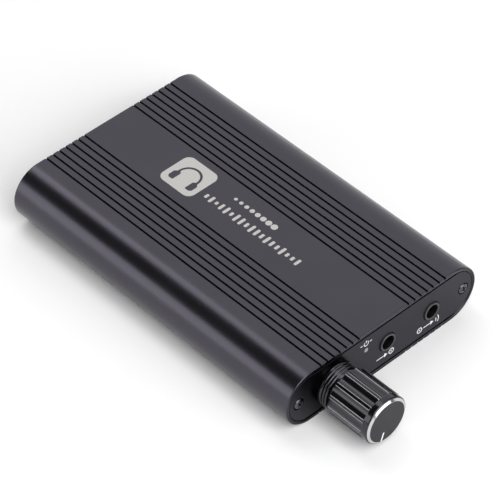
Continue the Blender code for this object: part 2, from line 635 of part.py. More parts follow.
# ---------------------------------------------------------------- rear sockets
def make_usb():
    """Charging socket: a folded steel shell around a thin tongue."""
    half = USB_HALF_WIDTH
    mouth = HALF_LENGTH - USB_RECESS
    back = mouth - USB_DEPTH
    shell = add_part("charging_socket_shell",
                     box("socket_shell", (USB_X - half, back, USB_LOW), (USB_X + half, mouth, USB_HIGH)),
                     BRIGHT_STEEL)
    hollow = box("socket_hollow", (USB_X - half + USB_WALL, back + USB_WALL, USB_LOW + USB_WALL),
                 (USB_X + half - USB_WALL, mouth + CUTTER_MARGIN, USB_HIGH - USB_WALL))
    combine(shell, add_cutter("socket_hollow", hollow))
    low = Vector((USB_X - USB_TONGUE.x / 2, back + USB_WALL + GAP, (USB_LOW + USB_HIGH) / 2 - 0.1 * MM))
    add_part("charging_socket_tongue", box("socket_tongue", low, low + USB_TONGUE), BLACK_NYLON)


def make_gain_switch():
    """Slide switch: a steel frame with a slot, and the lever that slides along X in it."""
    front = SEAT - GAIN_FRAME_SETBACK
    back = front - GAIN_FRAME.y
    half = GAIN_FRAME / 2
    frame = add_part("gain_switch_frame",
                     box("gain_frame", (GAIN_X - half.x, back, BOARD_SEAT),
                         (GAIN_X + half.x, front, BOARD_SEAT + GAIN_FRAME.z)), BRIGHT_STEEL)
    chamfer(frame, FRAME_EDGE_BREAK)
    slot_floor = back + GAIN_FRAME_WALL
    slot_half = GAIN_FRAME_SLOT / 2
    slot = box("frame_slot", (GAIN_X - slot_half.x, slot_floor, GAIN_MID_Z - slot_half.z),
               (GAIN_X + slot_half.x, front + CUTTER_MARGIN, GAIN_MID_Z + slot_half.z))
    combine(frame, add_cutter("frame_slot", slot))
    root = slot_floor + GAP
    reach = HALF_LENGTH + GAIN_LEVER_PROUD
    lever_half = Vector((GAIN_LEVER.x, reach - root, GAIN_LEVER.z)) / 2
    lever = add_part("gain_switch_lever", box("gain_lever", -lever_half, lever_half), BLACK_NYLON,
                     (GAIN_X + GAIN_TRAVEL / 2, (reach + root) / 2, GAIN_MID_Z))
    chamfer(lever, LEVER_EDGE_BREAK)


# ---------------------------------------------------------------- board and its parts
def make_board():
    board = add_part("circuit_board",
                     box("circuit_board", (-BOARD_HALF_WIDTH, -BOARD_HALF_LENGTH, BOARD_BOTTOM),
                         (BOARD_HALF_WIDTH, BOARD_HALF_LENGTH, BOARD_TOP)), GREEN_BOARD)
    notch_half = CONTROL_HALF_WIDTH + 0.7 * MM
    notch = box("board_notch", (KNOB_X - notch_half, -BOARD_HALF_LENGTH - CUTTER_MARGIN, 0),
                (KNOB_X + notch_half, CONTROL_DEPTH - SEAT + 2 * GAP, CASE_HEIGHT))
    combine(board, add_cutter("board_notch", notch))


def chip(name, x, y, length, width, height):
    """A moulded package standing on the board, with its top edges broken."""
    part = add_part(name, box(name, (x - length / 2, y - width / 2, BOARD_SEAT),
                              (x + length / 2, y + width / 2, BOARD_SEAT + height)), BLACK_NYLON)
    chamfer(part, FRAME_EDGE_BREAK)


def can(name, x, y):
    """An aluminium can capacitor standing on the board."""
    edge = 0.3 * MM
    neck = 0.25 * MM
    profile = [(0.0, CAN_HEIGHT), (CAN_RADIUS - edge, CAN_HEIGHT), (CAN_RADIUS, CAN_HEIGHT - edge),
               (CAN_RADIUS, CAN_BASE + 2 * neck), (CAN_RADIUS - neck, CAN_BASE + neck),
               (CAN_RADIUS, CAN_BASE), (CAN_RADIUS, 0.0), (0.0, 0.0)]
    turned(name, profile, POUCH_FILM, (x, y, BOARD_SEAT), Matrix.Identity(4), 24)


def make_board_parts():
    for side, x in (("left", -8.0 * MM), ("right", 9.0 * MM)):
        chip(f"amplifier_chip_{side}", x, -34.0 * MM, 5.0 * MM, 4.0 * MM, 1.6 * MM)
    chip("charging_chip", -20.0 * MM, 44.0 * MM, 5.0 * MM, 4.0 * MM, 1.6 * MM)
    chip("converter_chip", 22.0 * MM, 43.0 * MM, 4.0 * MM, 4.0 * MM, 1.4 * MM)
    chip("converter_coil", 26.5 * MM, 43.0 * MM, 4.2 * MM, 4.2 * MM, 2.4 * MM)
    for number, (x, y) in enumerate(((-1.5, -30.0), (17.5, -35.2), (25.5, -35.2), (-24.5, -32.0))):
        can(f"capacitor_{number + 1}", x * MM, y * MM)


def make_cell():
    """Flat lithium cell on a foam pad, with two leads to a board connector."""
    pad_half = CELL_HALF_WIDTH - CELL_PAD_MARGIN
    add_part("cell_pad", box("cell_pad", (-pad_half, CELL_FRONT + CELL_PAD_MARGIN, BOARD_SEAT),
                             (pad_half, CELL_BACK - CELL_PAD_MARGIN, CELL_PAD_TOP)), GREY_FOAM)
    cell_low = CELL_PAD_TOP + GAP
    cell = add_part("battery_cell",
                    box("battery_cell", (-CELL_HALF_WIDTH, CELL_FRONT, cell_low),
                        (CELL_HALF_WIDTH, CELL_BACK, cell_low + CELL_THICKNESS)), POUCH_FILM)
    bevel = cell.modifiers.new("soft_edges", "BEVEL")
    bevel.width = CELL_EDGE
    bevel.segments = 3
    connector = add_part("battery_connector",
                         box("battery_connector", (*CONNECTOR_LOW, BOARD_SEAT),
                             (*CONNECTOR_HIGH, BOARD_SEAT + CONNECTOR_HEIGHT)), WHITE_NYLON)
    chamfer(connector, CONNECTOR_EDGE_BREAK)
    leads = (("battery_lead_red", RED_WIRE), ("battery_lead_black", BLACK_WIRE))
    for number, (name, surface) in enumerate(leads):
        x = CONNECTOR_LOW.x + LEAD_INSET + number * LEAD_PITCH
        route = [(x, CELL_FRONT - GAP, 11.5 * MM), (x, CELL_FRONT - 1.6 * MM, 11.4 * MM),
                 (x, CONNECTOR_HIGH.y + 1.8 * MM, 9.5 * MM), (x, CONNECTOR_HIGH.y + GAP, 9.4 * MM)]
        tube(name, smooth_path(route), LEAD_RADIUS, surface)


# ---------------------------------------------------------------- shading
def shade_parts():
    """Gives each part its finished mesh, shaded smooth between its hard edges."""
    depsgraph = bpy.context.evaluated_depsgraph_get()
    parts = [part for part in PARTS.objects if part.type == "MESH"]
    finished = [bpy.data.meshes.new_from_object(part.evaluated_get(depsgraph)) for part in parts]
    for part, mesh in zip(parts, finished):
        part.modifiers.clear()
        mesh.name = part.name
        mesh.shade_smooth()
        mesh.set_sharp_from_angle(angle=SHARP_ANGLE)
        part.data = mesh


make_case()
make_plates()
make_screws()
for jack_kind, jack_x in JACK_XS.items():
    make_jack(jack_kind, jack_x)
make_control()
make_knob()
make_light("power", POWER_LIGHT_X, POWER_LIGHT_Z, -1)
make_light("charge", CHARGE_LIGHT_X, GAIN_MID_Z, 1)
make_usb()
make_gain_switch()
make_board()
make_board_parts()
make_cell()
shade_parts()
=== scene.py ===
import json
import math

import bmesh
import bpy
from mathutils import Matrix, Vector


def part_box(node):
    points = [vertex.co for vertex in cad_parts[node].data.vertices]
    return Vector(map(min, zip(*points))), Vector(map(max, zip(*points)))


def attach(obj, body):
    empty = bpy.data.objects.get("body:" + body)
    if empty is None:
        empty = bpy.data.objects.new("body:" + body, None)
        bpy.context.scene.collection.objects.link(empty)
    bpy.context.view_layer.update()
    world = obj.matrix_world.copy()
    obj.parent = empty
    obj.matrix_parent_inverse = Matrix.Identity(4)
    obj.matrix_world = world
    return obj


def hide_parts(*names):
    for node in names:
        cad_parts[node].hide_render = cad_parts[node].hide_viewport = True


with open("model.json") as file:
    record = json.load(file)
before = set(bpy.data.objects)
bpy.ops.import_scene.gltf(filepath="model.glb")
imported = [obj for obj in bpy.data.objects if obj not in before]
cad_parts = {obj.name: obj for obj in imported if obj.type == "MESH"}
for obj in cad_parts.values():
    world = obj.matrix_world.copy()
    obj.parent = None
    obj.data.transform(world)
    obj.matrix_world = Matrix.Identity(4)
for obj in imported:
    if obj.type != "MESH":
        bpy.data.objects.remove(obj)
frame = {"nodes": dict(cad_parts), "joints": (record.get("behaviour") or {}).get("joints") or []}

MM = 0.001
MERGE = 1e-7
FRONT = Vector((0, -1, 0))
BACK = Vector((0, 1, 0))
UP = Vector((0, 0, 1))
UNIT = (1, 1, 1)
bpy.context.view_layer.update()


def middle_of(node):
    """The middle of a CAD node's box."""
    low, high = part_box(node)
    return (low + high) / 2


# -------- sizes, read from the frame
CASE_LOW, CASE_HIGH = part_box("case_shell")
CASE_SIZE = CASE_HIGH - CASE_LOW
FRONT_Y = CASE_LOW.y
TOP_Z = CASE_HIGH.z
MID_Z = middle_of("case_shell").z
END_RADIUS = CASE_SIZE.z / 2
FLAT_HALF = CASE_SIZE.x / 2 - END_RADIUS
PLATE_LOW, PLATE_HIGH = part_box("front_plate")
PLATE_FACE_Y = PLATE_LOW.y
PLATE_THICK = PLATE_HIGH.y - PLATE_LOW.y
REAR_FACE_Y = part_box("rear_plate")[1].y
KNOB_LOW, KNOB_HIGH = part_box("knob_sleeve")
KNOB_AXIS = Vector(next(joint["pos_m"] for joint in frame["joints"] if joint["name"] == "knob_turn"))
KNOB_REACH = FRONT_Y - KNOB_LOW.y
KNOB_RADIUS = (KNOB_HIGH.x - KNOB_LOW.x) / 2
JACK_CENTRES = [middle_of("input_jack_body"), middle_of("output_jack_body")]
POWER_PIN = middle_of("power_light_pin")
CHARGE_PIN = middle_of("charge_light_pin")
SCREW_X = middle_of("front_screw_right").x
SCREW_NODES = [f"{end}_screw_{side}" for end in ("front", "rear") for side in ("left", "right")]

# -------- sizes of the case and its plates
WALL = 1.1 * MM
EDGE_BREAK = 0.24 * MM
INNER_BREAK = 0.1 * MM
GROOVE_PITCH = 2.35 * MM
GROOVES_A_SIDE = 7
INNER_GROOVE_X = 9.38 * MM
GROOVE_HALF = 0.31 * MM
GROOVE_DEPTH = 0.5 * MM
GROOVE_LIP = 0.06 * MM
GROOVE_FLOOR = 0.1 * MM
SEAM = 0.3 * MM
FLAT_CLEARANCE = 0.35 * MM
SEAT_DEPTH = 0.35 * MM
PLATE_EDGE = 0.07 * MM
# Radii of a plate's round holes, at its face and behind.
SCREW_HOLE = (1.9 * MM, 1.3 * MM)
JACK_HOLE = (3.05 * MM, 3.1 * MM)
CONTROL_HOLE = (3.75 * MM, 3.75 * MM)
PIN_HOLE = (0.75 * MM, 0.85 * MM)
# Half width, half height and corner radius of the rear plate's openings.
SOCKET_WINDOW = (4.25 * MM, 1.85 * MM, 0.6 * MM)
LEVER_SLOT = (2.55 * MM, 1.15 * MM, 0.4 * MM)

# -------- sizes of the screws, jacks and light pins
HEAD_RADIUS = 1.6 * MM
HEAD_RIM = 0.12 * MM
HEAD_RISE = 0.55 * MM
HEAD_HEIGHT = 0.7 * MM
CROSS_REACH = 1.3 * MM
SCREW_TURNS = (38, 12, 70, 25)
JACK_MOUTH = 2.2 * MM
PIN_RADIUS = 0.7 * MM
PIN_DOME = 0.12 * MM
INK = 0.03 * MM

# -------- sizes of the knob
FLUTES = 12
FLUTE_PITCH = math.tau / FLUTES
FLUTE_PHASE = math.radians(19.3)
FLUTE_FROM = 5.4 * MM
FLUTE_TO = 17.8 * MM
FLUTE_FLOOR_RADIUS = 6.98 * MM
FLUTE_CURVE = 3.0 * MM
FLUTE_STEPS = 14
EDGE_SOFT = math.radians(0.45)
EDGE_WIDE = 2.2 * EDGE_SOFT
FACE_RADIUS = 6.4 * MM
FACE_SUNK = 0.02 * MM
RIM_RADIUS = 7.05 * MM
RIM_LENGTH = 0.45 * MM
RIM_REACH = KNOB_REACH - RIM_LENGTH
BAND_RADIUS = KNOB_RADIUS - 0.1 * MM
COLLAR_RADIUS = 6.9 * MM
BORE_RADIUS = 6.1 * MM
FACE_THICK = 1.4 * MM
RING_REACHES = (4.15 * MM, 3.2 * MM, 2.2 * MM)
RING_HALF = 0.16 * MM
RING_DEPTH = 0.22 * MM
POINTER_ANGLE = math.radians(198.3)
POINTER_END = 6.36 * MM
POINTER_LENGTH = 2.8 * MM
POINTER_HALF = 0.24 * MM

# -------- studio
FLOOR_RADIUS = 0.6
CAMERA_PLACE = (-0.39165, -0.41645, 0.56357)
CAMERA_AZIMUTH, CAMERA_ELEVATION, CAMERA_ROLL = (math.radians(a) for a in (-43.484, 44.300, 0.0925))
CAMERA_LENS = 206.48


# -------- small helpers
def linear(hex_colour):
    """An sRGB hex colour as linear red, green, blue, alpha."""
    parts = [int(hex_colour[i:i + 2], 16) / 255 for i in (1, 3, 5)]
    return (*[p / 12.92 if p <= 0.04045 else ((p + 0.055) / 1.055) ** 2.4 for p in parts], 1.0)


def per_metre(size_mm):
    """The scale of a pattern whose features are this many millimetres wide or apart."""
    return 1 / (size_mm * MM)


def feed(tree, node, feeds):
    """Sets or links a node's inputs: (input, what it takes) pairs.

    An input is a name or a number. It takes a value, an output socket, or a node, which stands for
    its first output in use.
    """
    for where, what in feeds:
        socket = node.inputs[where]
        if isinstance(where, str):
            socket = next(s for s in node.inputs if s.name == where and s.enabled)
        if isinstance(what, bpy.types.Node):
            what = next(s for s in what.outputs if s.enabled)
        if isinstance(what, bpy.types.NodeSocket):
            tree.links.new(what, socket)
        else:
            socket.default_value = what


def add(tree, kind, feeds=(), **settings):
    """Adds one node with its own settings and what feeds its inputs."""
    node = tree.nodes.new(kind)
    for key, value in settings.items():
        setattr(node, key, value)
    feed(tree, node, feeds)
    return node


def new_piece(name, data, *materials):
    """An object in the scene, with the materials that its faces use."""
    piece = bpy.data.objects.new(name, data)
    bpy.context.scene.collection.objects.link(piece)
    for material in materials:
        data.materials.append(material)
    return piece


def mesh_of(name, vertices, faces=()):
    mesh = bpy.data.meshes.new(name)
    mesh.from_pydata([tuple(v) for v in vertices], [], list(faces))
    return mesh


def poured(bm, name):
    """A new mesh from a bmesh, which is freed."""
    mesh = bpy.data.meshes.new(name)
    bm.to_mesh(mesh)
    bm.free()
    return mesh


def store(mesh, name, kind, values):
    """Stores one value a point on a mesh, for a node tree to read."""
    layer = mesh.attributes.new(name, kind, "POINT")
    for item, value in zip(layer.data, values):
        setattr(item, "vector" if kind == "FLOAT_VECTOR" else "value", value)


def shade(mesh, smooth_angle):
    """Smooth shading, but sharp along edges that turn by more than an angle in degrees."""
    mesh.shade_smooth()
    mesh.set_sharp_from_angle(angle=math.radians(smooth_angle))


def tidy(mesh, smooth_angle=35.0):
    """Merges doubles, drops loose edges, turns the faces outwards and shades by angle."""
    bm = bmesh.new()
    bm.from_mesh(mesh)
    bmesh.ops.remove_doubles(bm, verts=bm.verts, dist=MERGE)
    bmesh.ops.dissolve_degenerate(bm, edges=bm.edges, dist=MERGE)
    bmesh.ops.delete(bm, geom=[e for e in bm.edges if not e.link_faces], context="EDGES")
    bmesh.ops.recalc_face_normals(bm, faces=bm.faces)
    bm.to_mesh(mesh)
    bm.free()
    shade(mesh, smooth_angle)


def plain_mesh(source, name):
    """The finished mesh of an object with modifiers; the object itself is removed."""
    bpy.context.view_layer.update()
    evaluated = source.evaluated_get(bpy.context.evaluated_depsgraph_get())
    mesh = bpy.data.meshes.new_from_object(evaluated)
    mesh.name = name
    bpy.data.objects.remove(source, do_unlink=True)
    return mesh


# -------- materials
def new_material(name, colour, roughness, metallic=0.0):
    """A material, its tree, its shader and the object's own coordinates; colours are sRGB hex."""
    material = bpy.data.materials.new(name)
    material.use_nodes = True
    tree = material.node_tree
    shader = tree.nodes["Principled BSDF"]
    feed(tree, shader, [("Base Color", linear(colour)), ("Roughness", roughness), ("Metallic", metallic)])
    return material, tree, shader, add(tree, "ShaderNodeTexCoord").outputs["Object"]


def blasted_anodised(name, dark, light, roughness, grain_mm):
    """Black anodised aluminium, glass-bead blasted: a satin grey-violet sheen with a fine even grain.

    The real grain is 0.1 mm, too fine to show, so it is drawn grain_mm wide. The tone drifts softly
    over some 18 mm, and faint lengthwise die lines of the extrusion, 0.6 mm apart, show through.
    """
    material, tree, shader, place = new_material(name, dark, roughness, 1.0)
    cloud = add(tree, "ShaderNodeTexNoise",
                [("Vector", place), ("Scale", per_metre(18.2)), ("Detail", 3.0)])
    grain = add(tree, "ShaderNodeTexNoise",
                [("Vector", place), ("Scale", per_metre(grain_mm)), ("Detail", 2.0), ("Roughness", 0.6)])
    drawn = add(tree, "ShaderNodeMapping",
                [("Vector", place), ("Scale", (per_metre(0.625), per_metre(71.4), per_metre(0.625)))])
    lines = add(tree, "ShaderNodeTexNoise", [("Vector", drawn), ("Scale", 1.0), ("Detail", 2.0)])
    tone = add(tree, "ShaderNodeMix",
               [("Factor", cloud), ("A", linear(dark)), ("B", linear(light))], data_type="RGBA")
    gloss = add(tree, "ShaderNodeMapRange",
                [("Value", cloud), ("To Min", roughness - 0.03), ("To Max", roughness + 0.03)])
    grained = add(tree, "ShaderNodeBump", [("Height", grain), ("Distance", 0.006 * MM)])
    lined = add(tree, "ShaderNodeBump",
                [("Height", lines), ("Distance", 0.0012 * MM), ("Normal", grained)])
    feed(tree, shader, [("Base Color", tone), ("Roughness", gloss), ("Normal", lined)])
    return material


def turned_anodised(name, colour, roughness, step_mm, facing, depth_mm):
    """Gloss black anodised aluminium straight from the lathe: the tool leaves fine rings about the axis.

    On a side the rings lie step_mm apart along the axis, and on a face they are circles, as far
    apart. They waver a little, and so does the gloss.
    """
    material, tree, shader, place = new_material(name, colour, roughness, 1.0)
    centred = add(tree, "ShaderNodeMapping", [("Vector", place), ("Location", -KNOB_AXIS)])
    parts = add(tree, "ShaderNodeSeparateXYZ", [("Vector", centred)]).outputs
    flat = add(tree, "ShaderNodeCombineXYZ", [("X", parts["X"]), ("Y", parts["Z"])])
    from_axis = add(tree, "ShaderNodeVectorMath", [(0, flat)], operation="LENGTH")
    wobble = add(tree, "ShaderNodeTexNoise", [("Vector", centred), ("Scale", per_metre(2.0))])
    along = from_axis if facing else parts["Y"]
    waver = add(tree, "ShaderNodeMath",
                [(0, wobble), (1, 0.12 * step_mm * MM), (2, along)], operation="MULTIPLY_ADD")
    phase = add(tree, "ShaderNodeMath",
                [(0, waver), (1, math.tau * per_metre(step_mm))], operation="MULTIPLY")
    rings = add(tree, "ShaderNodeMath", [(0, phase)], operation="SINE")
    cut = add(tree, "ShaderNodeBump", [("Height", rings), ("Distance", depth_mm * MM)])
    gloss = add(tree, "ShaderNodeMapRange",
                [("Value", wobble), ("To Min", roughness - 0.04), ("To Max", roughness + 0.04)])
    feed(tree, shader, [("Roughness", gloss), ("Normal", cut)])
    return material


def show_pattern(tree, shader, pattern, relief_mm, tones=None, gloss=None):
    """Lets one pattern make a finish uneven: in its relief, and where given in its tone and gloss."""
    relief = add(tree, "ShaderNodeBump", [("Height", pattern), ("Distance", relief_mm * MM)])
    feed(tree, shader, [("Normal", relief)])
    if tones:
        dark, light = tones
        tone = add(tree, "ShaderNodeMix",
                   [("Factor", pattern), ("A", linear(dark)), ("B", linear(light))], data_type="RGBA")
        feed(tree, shader, [("Base Color", tone)])
    if gloss:
        low, high = gloss
        uneven = add(tree, "ShaderNodeMapRange", [("Value", pattern), ("To Min", low), ("To Max", high)])
        feed(tree, shader, [("Roughness", uneven)])


def cut_bright(name, colour, roughness):
    """Diamond-cut aluminium: a mirror-bright bevel with the faintest cutting lines round it."""
    material, tree, shader, place = new_material(name, colour, roughness, 1.0)
    drawn = add(tree, "ShaderNodeMapping",
                [("Vector", place), ("Scale", (per_metre(1.11), per_metre(0.2), per_metre(1.11)))])
    lines = add(tree, "ShaderNodeTexNoise", [("Vector", drawn), ("Scale", 1.0), ("Detail", 2.0)])
    show_pattern(tree, shader, lines, 0.0012, gloss=(roughness - 0.04, roughness + 0.06))
    return material


def printed_ink(name, dark, light):
    """Screen-printed ink: a matt film, faintly uneven from the screen's 0.28 mm mesh."""
    material, tree, shader, place = new_material(name, light, 0.55)
    marks = add(tree, "ShaderNodeTexNoise",
                [("Vector", place), ("Scale", per_metre(0.278)), ("Detail", 2.0)])
    show_pattern(tree, shader, marks, 0.002, (dark, light))
    return material


def plated(name, colour, roughness, scratch_mm=0.15):
    """Plated metal: bright, with fine handling marks that run every way."""
    material, tree, shader, place = new_material(name, colour, roughness, 1.0)
    marks = add(tree, "ShaderNodeTexNoise",
                [("Vector", place), ("Scale", per_metre(scratch_mm)), ("Detail", 4.0)])
    show_pattern(tree, shader, marks, 0.0015, gloss=(roughness - 0.07, roughness + 0.07))
    return material


def moulded(name, dark, light, roughness, grain_mm=0.25, depth_mm=0.004, specular=0.5):
    """Injection-moulded plastic: an even colour with the fine spark-eroded grain of its mould."""
    material, tree, shader, place = new_material(name, dark, roughness)
    grain = add(tree, "ShaderNodeTexVoronoi",
                [("Vector", place), ("Scale", per_metre(grain_mm))], feature="SMOOTH_F1")
    show_pattern(tree, shader, grain, depth_mm, (dark, light))
    feed(tree, shader, [("Specular IOR Level", specular)])
    return material


def frosted_acrylic(name):
    """Clear acrylic light pin with a frosted end: milky, lets some light in."""
    material, tree, shader, place = new_material(name, "#a3a2ab", 0.35)
    frost = add(tree, "ShaderNodeTexNoise", [("Vector", place), ("Scale", per_metre(0.167))])
    show_pattern(tree, shader, frost, 0.003)
    feed(tree, shader, [("Transmission Weight", 0.35), ("IOR", 1.49)])
    return material


def solder_mask(name):
    """Green solder mask over glass laminate: glossy, with raised copper tracks at right angles."""
    mask, over_copper = "#0b4d24", "#1a7a3e"
    material, tree, shader, place = new_material(name, mask, 0.3)
    black, white = linear("#000000"), linear("#ffffff")
    tracks = add(tree, "ShaderNodeTexBrick",
                 [("Vector", place), ("Scale", per_metre(11.1)), ("Mortar Size", 0.03),
                  ("Color1", black), ("Color2", black), ("Mortar", white)])
    show_pattern(tree, shader, tracks, 0.03, (mask, over_copper))
    return material


def pouch_film(name):
    """Aluminium laminate film: satin silver, softly crumpled over the cell."""
    material, tree, shader, place = new_material(name, "#b9babd", 0.32, 0.9)
    crumple = add(tree, "ShaderNodeTexNoise",
                  [("Vector", place), ("Scale", per_metre(5.56)), ("Detail", 3.0)])
    show_pattern(tree, shader, crumple, 0.15)
    return material


CASE_ANODISED = blasted_anodised("blasted_black_anodised_case", "#49474e", "#4e4c53", 0.27, 0.35)
# Painted shade: a near-black copy of the anodising for the grooves, the case's inside and the plates' edges,
# hole walls, seat floors and backs.
PAINTED_SHADE_ANODISED = blasted_anodised("painted_shade_black_anodised", "#141416", "#19191b", 0.4, 0.3)
PLATE_ANODISED = blasted_anodised("fine_black_anodised_plate", "#29272f", "#2e2c35", 0.32, 0.3)
KNOB_SIDE = turned_anodised("turned_gloss_black_knob_side", "#434246", 0.16, 0.3, False, 0.0018)
KNOB_FACE = turned_anodised("turned_satin_black_knob_face", "#343337", 0.32, 0.22, True, 0.0015)
BRIGHT_RIM = cut_bright("diamond_cut_aluminium_rim", "#c9c9cd", 0.16)
# Painted highlight: bright metal along the knob's flute edges and the band's back edge, where light catches
# them.
KNOB_EDGE_HIGHLIGHT = cut_bright("painted_highlight_knob_edge", "#a6a6aa", 0.3)
SILVER_INK = printed_ink("silver_grey_screen_ink", "#b2b0ae", "#bdbbb8")
WHITE_INK = printed_ink("white_screen_ink", "#d5d5d9", "#e4e4e8")
BLACK_NICKEL = plated("black_nickel_plated_steel", "#5a595e", 0.24)
BRIGHT_STEEL = plated("bright_stamped_steel", "#c9c9cb", 0.28)
NICKEL = plated("nickel_plated_brass", "#cfcabd", 0.25)
NYLON_BLACK = moulded("black_moulded_nylon", "#2b2b2e", "#323236", 0.38)
# Painted shade: near-black for the jacks' bores and the screws' cross recesses.
RECESS_SHADE_BLACK = moulded("painted_shade_black_recess", "#050505", "#0a0a0b", 0.6, specular=0.05)
NYLON_WHITE = moulded("natural_moulded_nylon", "#d8d2bf", "#e4dfce", 0.45)
EPOXY_BLACK = moulded("black_moulded_epoxy", "#202022", "#2b2b2d", 0.6, 0.15, 0.01)
ACRYLIC = frosted_acrylic("frosted_clear_acrylic")
SOLDER_MASK = solder_mask("green_solder_mask")
FILM = pouch_film("aluminium_pouch_film")
FOAM = moulded("grey_closed_cell_foam", "#4a4a4c", "#5c5c5e", 0.9, 0.6, 0.12)
RED_SILICONE = moulded("red_silicone_insulation", "#a01515", "#b81d1d", 0.45, 0.4, 0.006)
BLACK_SILICONE = moulded("black_silicone_insulation", "#161616", "#202020", 0.45, 0.4, 0.006)


# -------- geometry-node trees
def new_tree(name, sockets):
    """A geometry-node tree with named inputs and one geometry output."""
    tree = bpy.data.node_groups.new(name, "GeometryNodeTree")
    tree.interface.new_socket("Geometry", in_out="OUTPUT", socket_type="NodeSocketGeometry")
    for label, kind in [("Geometry", "NodeSocketGeometry")] + sockets:
        tree.interface.new_socket(label, in_out="INPUT", socket_type=kind)
    return tree, add(tree, "NodeGroupInput"), add(tree, "NodeGroupOutput")


def run_tree(tree, source, name, values):
    """Runs a tree on an object and returns the plain mesh."""
    modifier = source.modifiers.new(tree.name, "NODES")
    modifier.node_group = tree
    for socket in tree.interface.items_tree:
        if socket.in_out == "INPUT" and socket.name in values:
            modifier[socket.identifier] = values[socket.name]
    mesh = plain_mesh(source, name)
    mesh.materials.clear()
    for face in mesh.polygons:
        face.material_index = 0
    mesh.materials.append(values["Finish"])
    return mesh


def wall_sweep_tree():
    """Sweeps a profile round a section, and cuts lengthwise grooves or flutes into it.

    Each section point has an outward direction and a depth of cut. Each profile point has an inset
    in X, a place along the sweep in Y, and says whether it is cut. A swept point is moved inwards
    by the larger of the inset and the cut, so an edge break never fills a groove.
    """
    tree, start, end = new_tree("wall_sweep", [("Profile", "NodeSocketObject"),
                                               ("Along", "NodeSocketVector"),
                                               ("Finish", "NodeSocketMaterial")])
    section = start.outputs["Geometry"]
    swept = add(tree, "GeometryNodeObjectInfo", [("Object", start.outputs["Profile"])])
    profile = swept.outputs["Geometry"]
    around = add(tree, "GeometryNodeAttributeDomainSize", [("Geometry", section)])
    rows = add(tree, "GeometryNodeAttributeDomainSize", [("Geometry", profile)])
    wide = add(tree, "ShaderNodeMath", [(0, around), (1, 1.0)], operation="ADD")
    grid = add(tree, "GeometryNodeMeshGrid", [("Vertices X", wide), ("Vertices Y", rows)])

    index = add(tree, "GeometryNodeInputIndex")
    past = add(tree, "ShaderNodeMath", [(0, index), (1, 0.5)], operation="ADD")
    lines = add(tree, "ShaderNodeMath", [(0, past), (1, rows)], operation="DIVIDE")
    whole = add(tree, "ShaderNodeMath", [(0, lines)], operation="FLOOR")
    column = add(tree, "ShaderNodeMath", [(0, whole), (1, around)], operation="MODULO")
    row = add(tree, "ShaderNodeMath", [(0, index), (1, rows)], operation="MODULO")

    place = add(tree, "GeometryNodeInputPosition")
    read = {}
    for name, source, at, kind in (("section_point", section, column, "FLOAT_VECTOR"),
                                   ("outward", section, column, "FLOAT_VECTOR"),
                                   ("cut", section, column, "FLOAT"),
                                   ("profile_point", profile, row, "FLOAT_VECTOR"),
                                   ("is_cut", profile, row, "FLOAT")):
        value = place
        if not name.endswith("point"):
            value = add(tree, "GeometryNodeInputNamedAttribute", [("Name", name)], data_type=kind)
        read[name] = add(tree, "GeometryNodeSampleIndex",
                         [("Geometry", source), ("Value", value), ("Index", at)],
                         data_type=kind, domain="POINT")

    profile_point = add(tree, "ShaderNodeSeparateXYZ", [(0, read["profile_point"])]).outputs
    depth = add(tree, "ShaderNodeMath", [(0, read["cut"]), (1, read["is_cut"])], operation="MULTIPLY")
    inset = add(tree, "ShaderNodeMath", [(0, profile_point["X"]), (1, depth)], operation="MAXIMUM")
    back = add(tree, "ShaderNodeMath", [(0, inset), (1, -1.0)], operation="MULTIPLY")
    inward = add(tree, "ShaderNodeVectorMath", [(0, read["outward"]), ("Scale", back)], operation="SCALE")
    forward = add(tree, "ShaderNodeVectorMath",
                  [(0, start.outputs["Along"]), ("Scale", profile_point["Y"])], operation="SCALE")
    offset = add(tree, "ShaderNodeVectorMath", [(0, inward), (1, forward)], operation="ADD")
    total = add(tree, "ShaderNodeVectorMath", [(0, read["section_point"]), (1, offset)], operation="ADD")
    placed = add(tree, "GeometryNodeSetPosition", [("Geometry", grid), ("Position", total)])
    merged = add(tree, "GeometryNodeMergeByDistance", [("Geometry", placed), ("Distance", MERGE)])
    real = add(tree, "GeometryNodeRealizeInstances", [("Geometry", merged)])
    finish = add(tree, "GeometryNodeSetMaterial",
                 [("Geometry", real), ("Material", start.outputs["Finish"])])
    feed(tree, end, [(0, finish)])
    return tree


def copies_tree():
    """Puts a copy of a piece on each point, which says how it is faced, turned and sized."""
    tree, start, end = new_tree("copies_on_points", [("Piece", "NodeSocketObject"),
                                                     ("Finish", "NodeSocketMaterial")])
    facing, turn, size = [add(tree, "GeometryNodeInputNamedAttribute", [("Name", name)], data_type=kind)
                          for name, kind in (("facing", "FLOAT_VECTOR"), ("turn", "FLOAT"),
                                             ("size", "FLOAT_VECTOR"))]
    pattern = add(tree, "GeometryNodeObjectInfo", [("Object", start.outputs["Piece"])])
    piece = pattern.outputs["Geometry"]
    faced = add(tree, "FunctionNodeAlignRotationToVector", [("Vector", facing)], axis="Z")
    spin = add(tree, "ShaderNodeCombineXYZ", [("Z", turn)])
    turned = add(tree, "FunctionNodeRotateRotation", [(0, faced), (1, spin)], rotation_space="LOCAL")
    points = add(tree, "GeometryNodeMeshToPoints", [("Mesh", start.outputs["Geometry"])])
    copies = add(tree, "GeometryNodeInstanceOnPoints",
                 [("Points", points), ("Instance", piece), ("Rotation", turned), ("Scale", size)])
    real = add(tree, "GeometryNodeRealizeInstances", [("Geometry", copies)])
    finish = add(tree, "GeometryNodeSetMaterial",
                 [("Geometry", real), ("Material", start.outputs["Finish"])])
    feed(tree, end, [(0, finish)])
    return tree


WALL_SWEEP = wall_sweep_tree()
COPIES = copies_tree()


